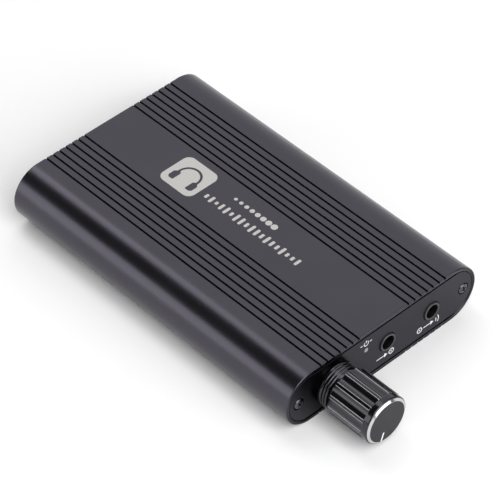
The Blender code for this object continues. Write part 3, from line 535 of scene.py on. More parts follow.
def swept_wall(name, section, profile, along, finish):
    """section: (place, outward, cut) for each point. profile: (inset, reach, is_cut) for each row."""
    loop = mesh_of(f"{name}_section", [place for place, _, _ in section])
    store(loop, "outward", "FLOAT_VECTOR", [outward for _, outward, _ in section])
    store(loop, "cut", "FLOAT", [cut for _, _, cut in section])
    rows = mesh_of(f"{name}_profile", [(inset, reach, 0) for inset, reach, _ in profile])
    store(rows, "is_cut", "FLOAT", [is_cut for _, _, is_cut in profile])
    rail = new_piece(f"{name}_profile", rows)
    mesh = run_tree(WALL_SWEEP, new_piece(f"{name}_section", loop), name,
                    {"Profile": rail, "Along": along, "Finish": finish})
    bpy.data.objects.remove(rail, do_unlink=True)
    return mesh


def copied(name, shape, places, finish):
    """places: (place, facing, turn, size) for each copy of a mesh."""
    points = mesh_of(f"{name}_points", [place for place, _, _, _ in places])
    store(points, "facing", "FLOAT_VECTOR", [facing for _, facing, _, _ in places])
    store(points, "turn", "FLOAT", [turn for _, _, turn, _ in places])
    store(points, "size", "FLOAT_VECTOR", [size for _, _, _, size in places])
    pattern = new_piece(f"{name}_pattern", shape)
    mesh = run_tree(COPIES, new_piece(f"{name}_points", points), name,
                    {"Piece": pattern, "Finish": finish})
    bpy.data.objects.remove(pattern, do_unlink=True)
    return mesh


# -------- shared shapes
def arc(radius, start, finish, steps, centre=(0.0, 0.0)):
    """Points of an arc in a plane, angles in degrees."""
    angles = [math.radians(start + (finish - start) * i / steps) for i in range(steps + 1)]
    return [(centre[0] + radius * math.cos(a), centre[1] + radius * math.sin(a)) for a in angles]


def rounded_box(half_u, half_v, radius, centre=(0.0, 0.0), steps=8):
    """Outline of a rectangle with round corners."""
    points = []
    for number, (su, sv) in enumerate(((1, 1), (-1, 1), (-1, -1), (1, -1))):
        corner = (centre[0] + su * (half_u - radius), centre[1] + sv * (half_v - radius))
        points += arc(radius, 90 * number, 90 * number + 90, steps, corner)
    return points


def circle(radius, centre=(0.0, 0.0), steps=64):
    return arc(radius, 0, 360 - 360 / steps, steps - 1, centre)


def sheet_mesh(name, loops, thickness, edge=0.0, place=Matrix.Identity(4)):
    """A flat sheet between its outline and its holes, with rounded edges, lying about its middle."""
    curve = bpy.data.curves.new(name, "CURVE")
    curve.dimensions = "2D"
    curve.fill_mode = "BOTH"
    curve.extrude = thickness / 2 - edge
    curve.bevel_depth = edge
    curve.bevel_resolution = 2
    for loop in loops:
        spline = curve.splines.new("POLY")
        spline.points.add(len(loop) - 1)
        for point, (u, v) in zip(spline.points, loop):
            point.co = (u, v, 0.0, 1.0)
        spline.use_cyclic_u = True
    mesh = plain_mesh(new_piece(name, curve), name)
    bpy.data.curves.remove(curve)
    tidy(mesh)
    flat_area = 0.02 * MM * MM
    for face in mesh.polygons:
        if face.area > flat_area:
            face.use_smooth = False
    mesh.transform(place)
    if place.determinant() < 0:
        mesh.flip_normals()
    return mesh


def turned_mesh(name, profile, steps=64, place=Matrix.Identity(4)):
    """A turned shape about Z: (radius, height) points from the axis or bore round the outside."""
    bm = bmesh.new()
    vertices = [bm.verts.new((radius, 0, height)) for radius, height in profile]
    edges = [bm.edges.new(pair) for pair in zip(vertices, vertices[1:])]
    if profile[0][0] > 0:
        edges.append(bm.edges.new((vertices[-1], vertices[0])))
    bmesh.ops.spin(bm, geom=vertices + edges, cent=(0, 0, 0), axis=(0, 0, 1), angle=math.tau,
                   steps=steps, use_merge=True)
    mesh = poured(bm, name)
    tidy(mesh)
    mesh.transform(place)
    return mesh


def box_mesh(name, low, high, edge, segments=2):
    """A box between two corners with rounded edges."""
    low, high = Vector(low), Vector(high)
    bm = bmesh.new()
    shape = Matrix.Translation((low + high) / 2) @ Matrix.Diagonal((*(high - low), 1))
    bmesh.ops.create_cube(bm, size=1.0, matrix=shape)
    bmesh.ops.bevel(bm, geom=bm.edges[:], offset=edge, segments=segments, profile=0.5, affect="EDGES")
    mesh = poured(bm, name)
    tidy(mesh, 40)
    return mesh


def joined(name, meshes):
    """One mesh from several."""
    bm = bmesh.new()
    for mesh in meshes:
        bm.from_mesh(mesh)
    return poured(bm, name)


def cut_mesh(name, blank, cutters, soft=0.0):
    """A blank with cutters taken out of it, and its corners softened."""
    blank = new_piece(f"{name}_blank", blank)
    cutters = [new_piece(f"{name}_cutter", cutter) for cutter in cutters]
    for cutter in cutters:
        boolean = blank.modifiers.new("cut", "BOOLEAN")
        boolean.object = cutter
        boolean.solver = "EXACT"
    if soft:
        bevel = blank.modifiers.new("soft", "BEVEL")
        bevel.width = soft
        bevel.segments = 2
        bevel.limit_method = "ANGLE"
        bevel.angle_limit = math.radians(40)
    mesh = plain_mesh(blank, name)
    for cutter in cutters:
        bpy.data.objects.remove(cutter, do_unlink=True)
    return mesh


def out_of(y, sign):
    """Places a flat sketch (u across, v up, w outwards) on an end face; sign is -1 for the front."""
    turn = Matrix(((-sign, 0, 0, 0), (0, 0, sign, 0), (0, 1, 0, 0), (0, 0, 0, 1)))
    return Matrix.Translation((0, y, 0)) @ turn


# -------- case
def groove_cut():
    """(shift, depth) points across one groove, with rounded lips and floor corners."""
    lip = arc(GROOVE_LIP, -90, 0, 3, (-GROOVE_HALF - GROOVE_LIP, GROOVE_LIP))
    floor = arc(GROOVE_FLOOR, 180, 90, 3, (GROOVE_FLOOR - GROOVE_HALF, GROOVE_DEPTH - GROOVE_FLOOR))
    half = [(lip[0][0] - 0.05 * MM, 0.0)] + lip + floor
    return half + [(-shift, depth) for shift, depth in reversed(half)]


def case_section():
    """Points round the case: two grooved flats and two round sides."""
    centres = sorted(side * (INNER_GROOVE_X + number * GROOVE_PITCH)
                     for side in (-1, 1) for number in range(GROOVES_A_SIDE))
    edge = FLAT_HALF - 0.4 * MM
    grooves = [(centre + shift, depth) for centre in centres for shift, depth in groove_cut()]
    section = []
    for side in (1, -1):
        for x, depth in [(-edge, 0.0)] + grooves + [(edge, 0.0)]:
            section.append(((side * x, 0, MID_Z + side * END_RADIUS), (0, 0, side), depth))
        middle = Vector((side * FLAT_HALF, 0, MID_Z))
        for u, v in arc(1.0, 90, -90, 48):
            outward = Vector((side * u, 0, side * v))
            section.append((middle + outward * END_RADIUS, outward, 0.0))
    return section


def case_profile():
    """Rows of the wall: round the front end, along the skin, round the back end and home inside."""
    half = CASE_SIZE.y / 2
    rows = [(WALL, half - INNER_BREAK, 0), (WALL - INNER_BREAK, half, 0),
            (EDGE_BREAK + 0.05 * MM, half, 1)]
    rows += [(inset, reach, 1)
             for inset, reach in arc(EDGE_BREAK, 90, 180, 4, (EDGE_BREAK, half - EDGE_BREAK))]
    rows.append((0.0, half - EDGE_BREAK - 0.3 * MM, 1))
    front = [(inset, -reach, is_cut) for inset, reach, is_cut in rows]
    return front + rows[::-1] + front[:1]


def make_case():
    """The extruded case. Its grooves and its inside carry painted shade, a near-black copy of the anodising,
    and its ends are as fine as the plates.
    """
    mesh = swept_wall("case", case_section(), case_profile(), (0, 1, 0), CASE_ANODISED)
    tidy(mesh, 50)
    mesh.materials.append(PAINTED_SHADE_ANODISED)
    mesh.materials.append(PLATE_ANODISED)
    skin, margin = 0.03 * MM, 0.3 * MM
    for face in mesh.polygons:
        x, z = abs(face.center.x), abs(face.center.z - MID_Z)
        in_groove = x < FLAT_HALF - margin and skin < END_RADIUS - z < WALL - margin
        on_inner_wall = math.hypot(max(0.0, x - FLAT_HALF), z) < END_RADIUS - WALL + 0.02 * MM
        # Painted shade in the grooves and on the inner wall, which shows through the seam round the plates.
        if (in_groove or on_inner_wall) and abs(face.normal.y) < 0.3:
            face.material_index = 1
        if abs(face.normal.y) > 0.995:
            face.material_index = 2
    case = new_piece("case", mesh)
    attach(case, "amplifier")
    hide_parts("case_shell")


def make_ledges():
    """Inside the case, from plate to plate: the screw ports, their webs and the board's ledges."""
    overlap, gap = 0.3 * MM, 0.3 * MM
    start = PLATE_HIGH.y - overlap
    bore, outside, web_from, web_half = 1.35 * MM, 2.3 * MM, 1.9 * MM, 1.0 * MM
    tube = [(bore, start), (bore, -start), (outside, -start), (outside, start)]
    lying = Matrix.Rotation(math.pi / 2, 4, "X")
    board_low, board_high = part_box("circuit_board")
    # Inner end, bottom and top of each bar.
    bars = ((SCREW_X + web_from, MID_Z - web_half, MID_Z + web_half),
            (board_high.x + gap, board_low.z - 1.4 * MM, board_low.z - gap),
            (board_high.x - 1.0 * MM, board_high.z + gap, board_high.z + 1.2 * MM))
    meshes = []
    for side in (-1, 1):
        place = Matrix.Translation((side * SCREW_X, 0, MID_Z)) @ lying
        meshes.append(turned_mesh("port", tube, 32, place))
        for inner, low, high in bars:
            aside = max(abs(low - MID_Z), abs(high - MID_Z))
            outer = FLAT_HALF + math.sqrt((END_RADIUS - WALL / 2) ** 2 - aside ** 2)
            left, right = sorted((side * inner, side * outer))
            meshes.append(box_mesh("ledge", (left, start, low), (right, -start, high), 0.15 * MM, 1))
    ledges = new_piece("case_ports_and_ledges", joined("case_ports_and_ledges", meshes), CASE_ANODISED)
    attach(ledges, "amplifier")


# -------- end plates
def plate_outline():
    """The plate clears the case by a thin seam round the ends and by a wider one along the flats."""
    radius = END_RADIUS - WALL - SEAM - PLATE_EDGE
    corner = math.degrees(math.asin((radius - FLAT_CLEARANCE) / radius))
    centre = FLAT_HALF + 0.16 * MM
    return (arc(radius, -corner, corner, 40, (centre, MID_Z))
            + arc(radius, 180 - corner, 180 + corner, 40, (-centre, MID_Z)))


def make_plate(name, sign, face_y, holes, openings=()):
    """An end plate of two layers: the outer one has the screw heads' seats, the inner one the shank holes.

    holes: (x, z, radius at the face, radius behind). openings: outlines cut through both layers.
    """
    layers = []
    for top, bottom, radius_at, edge in ((0.0, SEAT_DEPTH, 2, PLATE_EDGE),
                                         (SEAT_DEPTH, PLATE_THICK, 3, 0.01 * MM)):
        loops = [plate_outline()]
        loops += [circle(hole[radius_at] + PLATE_EDGE, (-sign * hole[0], hole[1])) for hole in holes]
        loops += [[(-sign * x, z) for x, z in outline] for outline in openings]
        place = out_of(face_y - sign * (top + bottom) / 2, sign)
        layers.append(sheet_mesh(name, loops, bottom - top, edge, place))
    plate = new_piece(name, joined(name, layers), PLATE_ANODISED, PAINTED_SHADE_ANODISED)
    # Painted shade on the plate's edges, its hole walls, the screw seats' floors and its back.
    for face in plate.data.polygons:
        if abs(face.normal.y) < 0.2 or abs(face.center.y - face_y) > SEAT_DEPTH / 2:
            face.material_index = 1
    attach(plate, "amplifier")
    return plate


def make_plates():
    screws = [(side * SCREW_X, MID_Z, *SCREW_HOLE) for side in (-1, 1)]
    jacks = [(centre.x, MID_Z, *JACK_HOLE) for centre in JACK_CENTRES]
    control = (KNOB_AXIS.x, MID_Z, *CONTROL_HOLE)
    lamp = (POWER_PIN.x, POWER_PIN.z, *PIN_HOLE)
    front = make_plate("front_end_plate", -1, PLATE_FACE_Y, screws + jacks + [control, lamp])
    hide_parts("front_plate")

    socket = middle_of("charging_socket_shell")
    window = rounded_box(*SOCKET_WINDOW, (socket.x, socket.z))
    slot = rounded_box(*LEVER_SLOT, (middle_of("gain_switch_frame").x, middle_of("gain_switch_lever").z))
    lamp = (CHARGE_PIN.x, CHARGE_PIN.z, *PIN_HOLE)
    rear = make_plate("rear_end_plate", 1, REAR_FACE_Y, screws + [lamp], [window, slot])
    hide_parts("rear_plate")


# -------- screws
def dome_height(aside):
    """Height of a screw head's dome over its seat, at a distance from its axis."""
    return HEAD_RIM + HEAD_RISE * math.sqrt(max(0.0, 1 - (aside / HEAD_RADIUS) ** 2))


def cross_cutter(turn):
    """One bar of the cross recess, narrower at its bottom."""
    size, middle, taper = (3.0 * MM, 0.75 * MM, 1.1 * MM), 0.75 * MM, 0.45
    bm = bmesh.new()
    bmesh.ops.create_cube(bm, size=1.0, matrix=Matrix.Rotation(turn, 4, "Z")
                          @ Matrix.Translation((0, 0, middle)) @ Matrix.Diagonal((*size, 1)))
    for vertex in bm.verts:
        if vertex.co.z < middle:
            vertex.co.x *= taper
            vertex.co.y *= taper
    return poured(bm, "cross")


def screw_mesh():
    """A pan head with a cross recess and a plain shank, facing +Z, its seat at height 0."""
    shank, point, length, under = 1.0 * MM, 0.35 * MM, 8.0 * MM, 0.04 * MM
    asides = [HEAD_RADIUS * math.sin(math.radians(a)) for a in range(0, 91, 9)]
    profile = [(aside, dome_height(aside)) for aside in asides]
    profile += [(HEAD_RADIUS, under), (HEAD_RADIUS - under, 0.0), (shank, 0.0),
                (shank, 1.0 * MM - length), (point, -length), (0.0, -length)]
    cutters = [cross_cutter(turn) for turn in (0, math.pi / 2)]
    mesh = cut_mesh("screw", turned_mesh("screw_blank", profile, 48), cutters, 0.035 * MM)
    tidy(mesh, 40)
    return mesh


def make_screws():
    """The four plate screws, each turned as it came to rest, with painted shade in the cross recess."""
    places = []
    for node, turn in zip(SCREW_NODES, SCREW_TURNS):
        low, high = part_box(node)
        middle = (low + high) / 2
        front = node.startswith("front")
        seat = low.y + HEAD_HEIGHT if front else high.y - HEAD_HEIGHT
        places.append(((middle.x, seat, middle.z), FRONT if front else BACK, math.radians(turn), UNIT))
    screws = new_piece("plate_screws", copied("plate_screws", screw_mesh(), places, BLACK_NICKEL))
    tidy(screws.data, 40)
    screws.data.materials.append(RECESS_SHADE_BLACK)
    recess_from, dome_skin = 0.05 * MM, 0.07 * MM
    # Painted shade: the faces down in the cross recess are near-black.
    for face in screws.data.polygons:
        for (x, seat, z), facing, _, _ in places:
            aside = math.hypot(face.center.x - x, face.center.z - z)
            height = (face.center.y - seat) * facing.y
            if aside < CROSS_REACH and recess_from < height < dome_height(aside) - dome_skin:
                face.material_index = 1
    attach(screws, "amplifier")
    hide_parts(*SCREW_NODES)


# -------- jacks
def jack_mesh():
    """A jack facing +Z: nose with a rounded lip, lead-in and bore, and the moulded block behind it."""
    low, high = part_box("input_jack_body")
    nose, bore, depth, skin = 2.8 * MM, 1.85 * MM, 13.9 * MM, 0.4 * MM
    nose_end, block_front, board_gap = -3.1 * MM, -2.7 * MM, 0.35 * MM
    soft, play = 0.18 * MM, 0.05 * MM
    profile = [(0.0, -depth), (bore, -depth), (bore, -0.75 * MM), (JACK_MOUTH - 0.1 * MM, -0.22 * MM),
               (JACK_MOUTH, -0.06 * MM), (JACK_MOUTH + 0.1 * MM, 0.0)]
    profile += arc(soft, 90, 0, 5, (nose - soft, -soft))
    bore += skin
    depth += skin
    profile += [(nose, nose_end), (bore, nose_end), (bore, -depth), (0.0, -depth)]
    half = (high.x - low.x) / 2
    block = box_mesh("block", (-half, low.z + board_gap - MID_Z, low.y - high.y),
                     (half, high.z - MID_Z, block_front), 0.3 * MM)
    bore += play
    depth += 2 * play
    hole = turned_mesh("hole", [(0.0, 1 * MM), (bore, 1 * MM), (bore, -depth), (0.0, -depth)], 48)
    return joined("jack", [turned_mesh("nose", profile, 72), cut_mesh("block", block, [hole])])


def make_jacks():
    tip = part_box("input_jack_body")[0].y
    places = [((centre.x, tip, MID_Z), FRONT, 0.0, UNIT) for centre in JACK_CENTRES]
    jacks = new_piece("jack_bodies", copied("jack_bodies", jack_mesh(), places, NYLON_BLACK))
    # Painted shade: the faces inside each jack's mouth are near-black.
    jacks.data.materials.append(RECESS_SHADE_BLACK)
    for face in jacks.data.polygons:
        aside = min(math.hypot(face.center.x - centre.x, face.center.z - MID_Z) for centre in JACK_CENTRES)
        if aside < JACK_MOUTH and face.center.y > tip + 0.05 * MM:
            face.material_index = 1
    shade(jacks.data, 35)
    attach(jacks, "amplifier")
    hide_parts("input_jack_body", "output_jack_body")


# -------- knob
def flute_radius(angle):
    """Distance from the axis to the wall of a round-bottomed flute, at an angle from its middle."""
    centre = FLUTE_FLOOR_RADIUS + FLUTE_CURVE
    aside = centre * math.sin(angle)
    if abs(aside) >= FLUTE_CURVE:
        return KNOB_RADIUS
    return min(KNOB_RADIUS, centre * math.cos(angle) - math.sqrt(FLUTE_CURVE ** 2 - aside ** 2))


def flute_edge():
    """The angle from a flute's middle at which its wall meets the knob's outside."""
    low, high = 0.0, FLUTE_PITCH / 2
    for _ in range(40):
        middle = (low + high) / 2
        if flute_radius(middle) < KNOB_RADIUS - MERGE:
            low = middle
        else:
            high = middle
    return low


def knob_section():
    """Points round the knob: twelve concave flutes between narrow lands with broken edges."""
    edge = flute_edge()
    last = edge - EDGE_SOFT
    shares = [edge * (2 * i / FLUTE_STEPS - 1) for i in range(1, FLUTE_STEPS)]
    angles = [-last] + [a for a in shares if abs(a) < last] + [last]
    cuts = [(a, KNOB_RADIUS - flute_radius(a)) for a in angles]
    drop = cuts[-1][1]
    land = [(edge, drop * 0.3), (edge + EDGE_SOFT, drop * 0.06), (edge + EDGE_WIDE, 0.0)]
    cuts += land + [(FLUTE_PITCH / 2, 0.0)] + [(FLUTE_PITCH - a, cut) for a, cut in reversed(land)]
    centre = Vector((KNOB_AXIS.x, FRONT_Y, MID_Z))
    section = []
    for number in range(FLUTES):
        for angle, cut in cuts:
            around = FLUTE_PHASE + number * FLUTE_PITCH + angle
            outward = Vector((-math.sin(around), 0, math.cos(around)))
            section.append((centre + outward * KNOB_RADIUS, outward, cut))
    return section


def knob_profile():
    """Rows of the sleeve: face, bright rim, band, flutes, ringed collar, then the bore from behind."""
    rear = FRONT_Y - KNOB_HIGH.y
    sunk = KNOB_REACH - FACE_SUNK
    front = [(radius, sunk) for radius in (0.0, 2.0 * MM, FACE_RADIUS - 0.5 * MM, FACE_RADIUS - 0.04 * MM)]
    front += [(FACE_RADIUS - FACE_SUNK, KNOB_REACH), (FACE_RADIUS + FACE_SUNK, KNOB_REACH - 0.005 * MM)]
    front += [(FACE_RADIUS + (RIM_RADIUS - FACE_RADIUS) * share, KNOB_REACH - RIM_LENGTH * share)
              for share in (0.1, 0.5, 0.95)]
    soft = BAND_RADIUS - RIM_RADIUS
    corner = RIM_REACH - 0.03 * MM - soft
    front += [(RIM_RADIUS, RIM_REACH), (RIM_RADIUS + 0.02 * MM, RIM_REACH - 0.03 * MM)]
    front += [(RIM_RADIUS + soft * math.sin(a), corner + soft * math.cos(a))
              for a in map(math.radians, (20, 40, 60, 75, 90))]
    lip = 0.1 * MM
    front += [(BAND_RADIUS, RIM_REACH - soft - 0.3 * MM), (BAND_RADIUS, FLUTE_TO + 2 * lip),
              (BAND_RADIUS, FLUTE_TO + lip), (BAND_RADIUS - lip * 0.35, FLUTE_TO + lip * 0.35),
              (BAND_RADIUS - lip, FLUTE_TO)]
    fluted = [(BAND_RADIUS - lip * 1.1, FLUTE_TO - 0.005 * MM), (BAND_RADIUS, FLUTE_TO - 0.03 * MM),
              (KNOB_RADIUS, FLUTE_TO - 0.12 * MM), (KNOB_RADIUS, FLUTE_TO - 0.25 * MM),
              (KNOB_RADIUS, FLUTE_FROM + 0.3 * MM), (KNOB_RADIUS, FLUTE_FROM + 0.12 * MM),
              (KNOB_RADIUS - 0.04 * MM, FLUTE_FROM + 0.03 * MM), (KNOB_RADIUS - 0.12 * MM, FLUTE_FROM),
              (COLLAR_RADIUS + 0.05 * MM, FLUTE_FROM)]
    collar = [(COLLAR_RADIUS, FLUTE_FROM - 0.02 * MM), (COLLAR_RADIUS, FLUTE_FROM - 0.15 * MM)]
    for reach in RING_REACHES:
        collar += [(COLLAR_RADIUS - RING_DEPTH * cut, reach + RING_HALF * shift) for shift, cut in
                   ((1.3, 0), (1, 0.15), (0.45, 0.8), (0, 1), (-0.45, 0.8), (-1, 0.15), (-1.3, 0))]
    collar += [(COLLAR_RADIUS, rear + 0.3 * MM), (COLLAR_RADIUS, rear + 0.15 * MM),
               (COLLAR_RADIUS - 0.05 * MM, rear + 0.04 * MM), (COLLAR_RADIUS - 0.15 * MM, rear),
               (BORE_RADIUS + 0.1 * MM, rear), (BORE_RADIUS, rear + 0.1 * MM),
               (BORE_RADIUS, KNOB_REACH - FACE_THICK), (0.0, KNOB_REACH - FACE_THICK)]
    return [(KNOB_RADIUS - radius, reach, is_cut)
            for rows, is_cut in ((front, 0), (fluted, 1), (collar, 0)) for radius, reach in rows]


def knob_finish(face):
    """The material number of a face of the sleeve: side, face, bright rim or the painted highlight on its
    edges.
    """
    reach = FRONT_Y - face.center.y
    aside = math.hypot(face.center.x - KNOB_AXIS.x, face.center.z - MID_Z)
    if reach > KNOB_REACH - 0.03 * MM and aside < FACE_RADIUS - 0.03 * MM:
        return 1
    if reach > RIM_REACH - 0.01 * MM and aside < RIM_RADIUS + 0.01 * MM:
        return 2
    # Painted highlight on the flutes' edges, and below on the band's back edge.
    if FLUTE_FROM < reach < FLUTE_TO and aside > KNOB_RADIUS - 0.2 * MM:
        around = math.atan2(KNOB_AXIS.x - face.center.x, face.center.z - MID_Z) - FLUTE_PHASE
        from_middle = abs((around + FLUTE_PITCH / 2) % FLUTE_PITCH - FLUTE_PITCH / 2)
        return 3 if -EDGE_SOFT < from_middle - flute_edge() < EDGE_WIDE else 0
    return 3 if FLUTE_TO < reach < FLUTE_TO + 0.11 * MM and aside > RIM_RADIUS else 0


def make_knob():
    """The aluminium sleeve, turned and fluted."""
    mesh = swept_wall("knob", knob_section(), knob_profile(), (0, -1, 0), KNOB_SIDE)
    tidy(mesh, 40)
    for material in (KNOB_FACE, BRIGHT_RIM, KNOB_EDGE_HIGHLIGHT):
        mesh.materials.append(material)
    for face in mesh.polygons:
        face.material_index = knob_finish(face)
    knob = new_piece("knob", mesh)
    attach(knob, "volume_knob")
    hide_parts("knob_sleeve")


def make_pointer():
    """The white mark on the knob's face."""
    half = POINTER_LENGTH / 2
    outline = rounded_box(POINTER_HALF, half, 0.1 * MM, (0, POINTER_END - half), 4)
    turn = Matrix.Translation((KNOB_AXIS.x, 0, MID_Z)) @ Matrix.Rotation(POINTER_ANGLE, 4, "Y")
    place = turn @ out_of(FRONT_Y - KNOB_REACH + 0.01 * MM, -1)
    mesh = sheet_mesh("knob_pointer", [outline], 0.04 * MM, 0.008 * MM, place)
    pointer = new_piece("knob_pointer", mesh, WHITE_INK)
    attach(pointer, "volume_knob")


# -------- lights
def make_light_pins():
    """Two frosted pins with domed ends, one in each plate."""
    angles = [math.radians(a) for a in range(0, 91, 15)]
    profile = [(PIN_RADIUS * math.sin(a), PIN_DOME * math.cos(a)) for a in angles]
    shape = turned_mesh("pin", profile + [(PIN_RADIUS, -PLATE_THICK), (0.0, -PLATE_THICK)], 32)
    places = [((pin.x, face_y, pin.z), facing, 0.0, UNIT)
              for pin, facing, face_y in ((POWER_PIN, FRONT, PLATE_FACE_Y), (CHARGE_PIN, BACK, REAR_FACE_Y))]
    pins = new_piece("light_pins", copied("light_pins", shape, places, ACRYLIC))
    shade(pins.data, 50)
    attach(pins, "amplifier")
    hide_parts("power_light_pin", "charge_light_pin")


# -------- rear socket and switch
def make_charging_socket():
    """The socket's folded steel shell, wide side up, closed at its back."""
    low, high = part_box("charging_socket_shell")
    middle = (low + high) / 2
    wall, edge = 0.28 * MM, 0.03 * MM

    def outline(inset):
        """The shell's section, seen from behind the case."""
        top = (high.x - low.x) / 2 - inset
        bottom = top - 0.9 * MM
        tall = (high.z - low.z) / 2
        shoulder = -0.15 * tall
        corners = ((-top, tall - inset), (-top, shoulder), (-bottom, inset - tall),
                   (bottom, inset - tall), (top, shoulder), (top, tall - inset))
        return [(-middle.x - x, middle.z + z) for x, z in corners]

    depth = high.y - low.y - wall
    shell = sheet_mesh("socket", [outline(edge), outline(wall)], depth, edge, out_of(high.y - depth / 2, 1))
    back = sheet_mesh("socket_back", [outline(0.02 * MM)], wall, 0.0, out_of(low.y + wall / 2, 1))
    socket = new_piece("charging_socket", joined("charging_socket", [shell, back]), BRIGHT_STEEL)
    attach(socket, "amplifier")
    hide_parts("charging_socket_shell")


def make_gain_lever():
    """The gain switch's cap, with three ribs for the fingertip."""
    low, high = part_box("gain_switch_lever")
    first, pitch, width = 0.3 * MM, 0.38 * MM, 0.14 * MM
    sunk, proud, margin = 0.05 * MM, 0.08 * MM, 0.2 * MM
    meshes = [box_mesh("lever", low, high, 0.14 * MM, 3)]
    for x in (low.x + first, low.x + first + pitch, low.x + first + 2 * pitch):
        meshes.append(box_mesh("rib", (x, high.y - sunk, low.z + margin),
                               (x + width, high.y + proud, high.z - margin), 0.03 * MM))
    slider = new_piece("gain_lever_cap", joined("gain_lever_cap", meshes), NYLON_BLACK)
    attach(slider, "gain_lever")
    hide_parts("gain_switch_lever")


# -------- printed marks
def on_top(x, y):
    """Places a flat sketch on the top face: its right is -Y and its up is +X."""
    turn = Matrix(((0, 1, 0, 0), (-1, 0, 0, 0), (0, 0, 1, 0), (0, 0, 0, 1)))
    return Matrix.Translation((x, y, TOP_Z)) @ turn


def print_piece(name, meshes, ink):
    piece = new_piece(name, joined(name, meshes), ink)
    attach(piece, "amplifier")


def print_row(name, mark, x, y, length, sizes):
    """A row of copies of a mark on the top, from the rear forwards, each of its own size."""
    last = len(sizes) - 1
    places = [((x, y - length * number / last, TOP_Z), UP, 0.0, (*size, 1.0))
              for number, size in enumerate(sizes)]
    print_piece(name, [copied(name, mark, places, SILVER_INK)], SILVER_INK)


def headphone_outline():
    """A headband over two cups, as one outline; the right cup mirrors the left one."""
    low, high, inner, outer = -4.1 * MM, -0.6 * MM, 2.5 * MM, 4.75 * MM
    round_out, round_in = 0.7 * MM, 0.3 * MM
    crown, band_out, band_in = (0, -0.2 * MM), 4.0 * MM, 3.25 * MM
    left_cup = [(round_out - outer, high), (-outer, high - round_out), (-outer, low + round_out),
                (round_out - outer, low), (-inner - round_in, low), (-inner, low + round_in),
                (-inner, high - round_in), (-inner - round_in, high)]
    right_cup = [(-u, v) for u, v in left_cup]
    return (left_cup[:1] + arc(band_out, 180, 0, 40, crown) + right_cup
            + arc(band_in, 0, 180, 40, crown) + left_cup[:0:-1])


def make_top_print():
    """A badge with a headphone pictogram, a row of level bars and a row of growing dots."""
    edge = rounded_box(6.5 * MM, 6.2 * MM, 2.4 * MM)
    place = on_top(0.5 * MM, FRONT_Y + 77.1 * MM)
    badge = sheet_mesh("badge", [edge, headphone_outline()], INK, 0.0, place)
    print_piece("badge_print", [badge], SILVER_INK)

    bar = sheet_mesh("bar", [rounded_box(0.5, 0.5, 0.24, (0, 0), 4)], INK)
    bars, tallest, width = 19, 3.0 * MM, 0.95 * MM
    sizes = []
    for number in range(bars):
        swell = 0.55 + 0.35 * math.sin(math.pi * number / (bars - 1)) + 0.3 * math.sin(number * 2.2)
        sizes.append((tallest * min(1.0, max(0.35, swell)), width))
    print_row("level_bar_print", bar, -1.25 * MM, FRONT_Y + 67.9 * MM, 36.2 * MM, sizes)

    dot = sheet_mesh("dot", [circle(0.5, steps=32)], INK)
    dots, smallest, growth = 8, 1.1 * MM, 1.0 * MM
    sizes = [(smallest + growth * number / (dots - 1),) * 2 for number in range(dots)]
    print_row("volume_dot_print", dot, 3.75 * MM, FRONT_Y + 61.4 * MM, 15.4 * MM, sizes)


def front_mark(x, z, *loops):
    """A flat mark on the front plate about (x, z)."""
    placed = [[(u + x, v + z) for u, v in loop] for loop in loops]
    return sheet_mesh("mark", placed, INK, 0.0, out_of(PLATE_FACE_Y, -1))


def arrow(start, length):
    """Outline of a bold arrow along U."""
    stop, half, head, wing = start + length, 0.14 * MM, 1.15 * MM, 0.75 * MM
    return [(start, half), (stop - head, half), (stop - head, wing), (stop, 0), (stop - head, -wing),
            (stop - head, -half), (start, -half)]


def socket_mark(x, z):
    """A ring round a dot."""
    return [front_mark(x, z, circle(1.0 * MM, steps=40), circle(0.74 * MM, steps=40)),
            front_mark(x, z, circle(0.26 * MM, steps=24))]


def make_front_print():
    """Signs in place of lettering: power, an arrow into a socket, and a socket, an arrow and waves."""
    x, z = POWER_PIN.x - 0.1 * MM, POWER_PIN.z + 2.6 * MM
    half, long_half, soft = 0.13 * MM, 0.45 * MM, 0.06 * MM
    marks = [front_mark(x, z, arc(0.92 * MM, 130, 410, 36) + arc(0.68 * MM, 410, 130, 36)),
             front_mark(x, z, rounded_box(half, long_half, soft, (0, 0.65 * MM), 3))]
    marks += [front_mark(x, z, rounded_box(0.4 * MM, half, soft, (side * 1.75 * MM, 0), 3))
              for side in (-1, 1)]

    z = 4.6 * MM
    x = JACK_CENTRES[0].x - 0.6 * MM
    marks += [front_mark(x, z, arrow(-3.3 * MM, 4.1 * MM))] + socket_mark(x + 2.3 * MM, z)
    x = JACK_CENTRES[1].x - 1.0 * MM
    marks += socket_mark(x - 3.3 * MM, z) + [front_mark(x, z, arrow(-1.8 * MM, 3.9 * MM))]
    marks += [front_mark(x + 2.1 * MM, z, arc(radius + half, -38, 38, 12) + arc(radius - half, 38, -38, 12))
              for radius in (1.0 * MM, 2.0 * MM)]
    print_piece("front_sign_print", marks, WHITE_INK)


# -------- pieces that keep their CAD shape
def dress_inner_parts():
    """Gives each CAD node that still shows its finish."""
    finishes = {"volume_control_body": BRIGHT_STEEL, "volume_control_washer": BRIGHT_STEEL,
                "volume_control_nut": BRIGHT_STEEL, "gain_switch_frame": BRIGHT_STEEL,
                "knob_core": NYLON_BLACK, "charging_socket_tongue": NYLON_BLACK,
                "circuit_board": SOLDER_MASK, "battery_cell": FILM, "cell_pad": FOAM,
                "battery_connector": NYLON_WHITE, "battery_lead_red": RED_SILICONE,
                "battery_lead_black": BLACK_SILICONE, "converter_coil": EPOXY_BLACK,
                "power_lamp": ACRYLIC, "charge_lamp": ACRYLIC}
    for name, node in frame["nodes"].items():
        if node.hide_render:
            continue
        others = EPOXY_BLACK if "chip" in name else FILM if "capacitor" in name else NICKEL
        for slot in node.material_slots:
            slot.material = finishes.get(name, others)


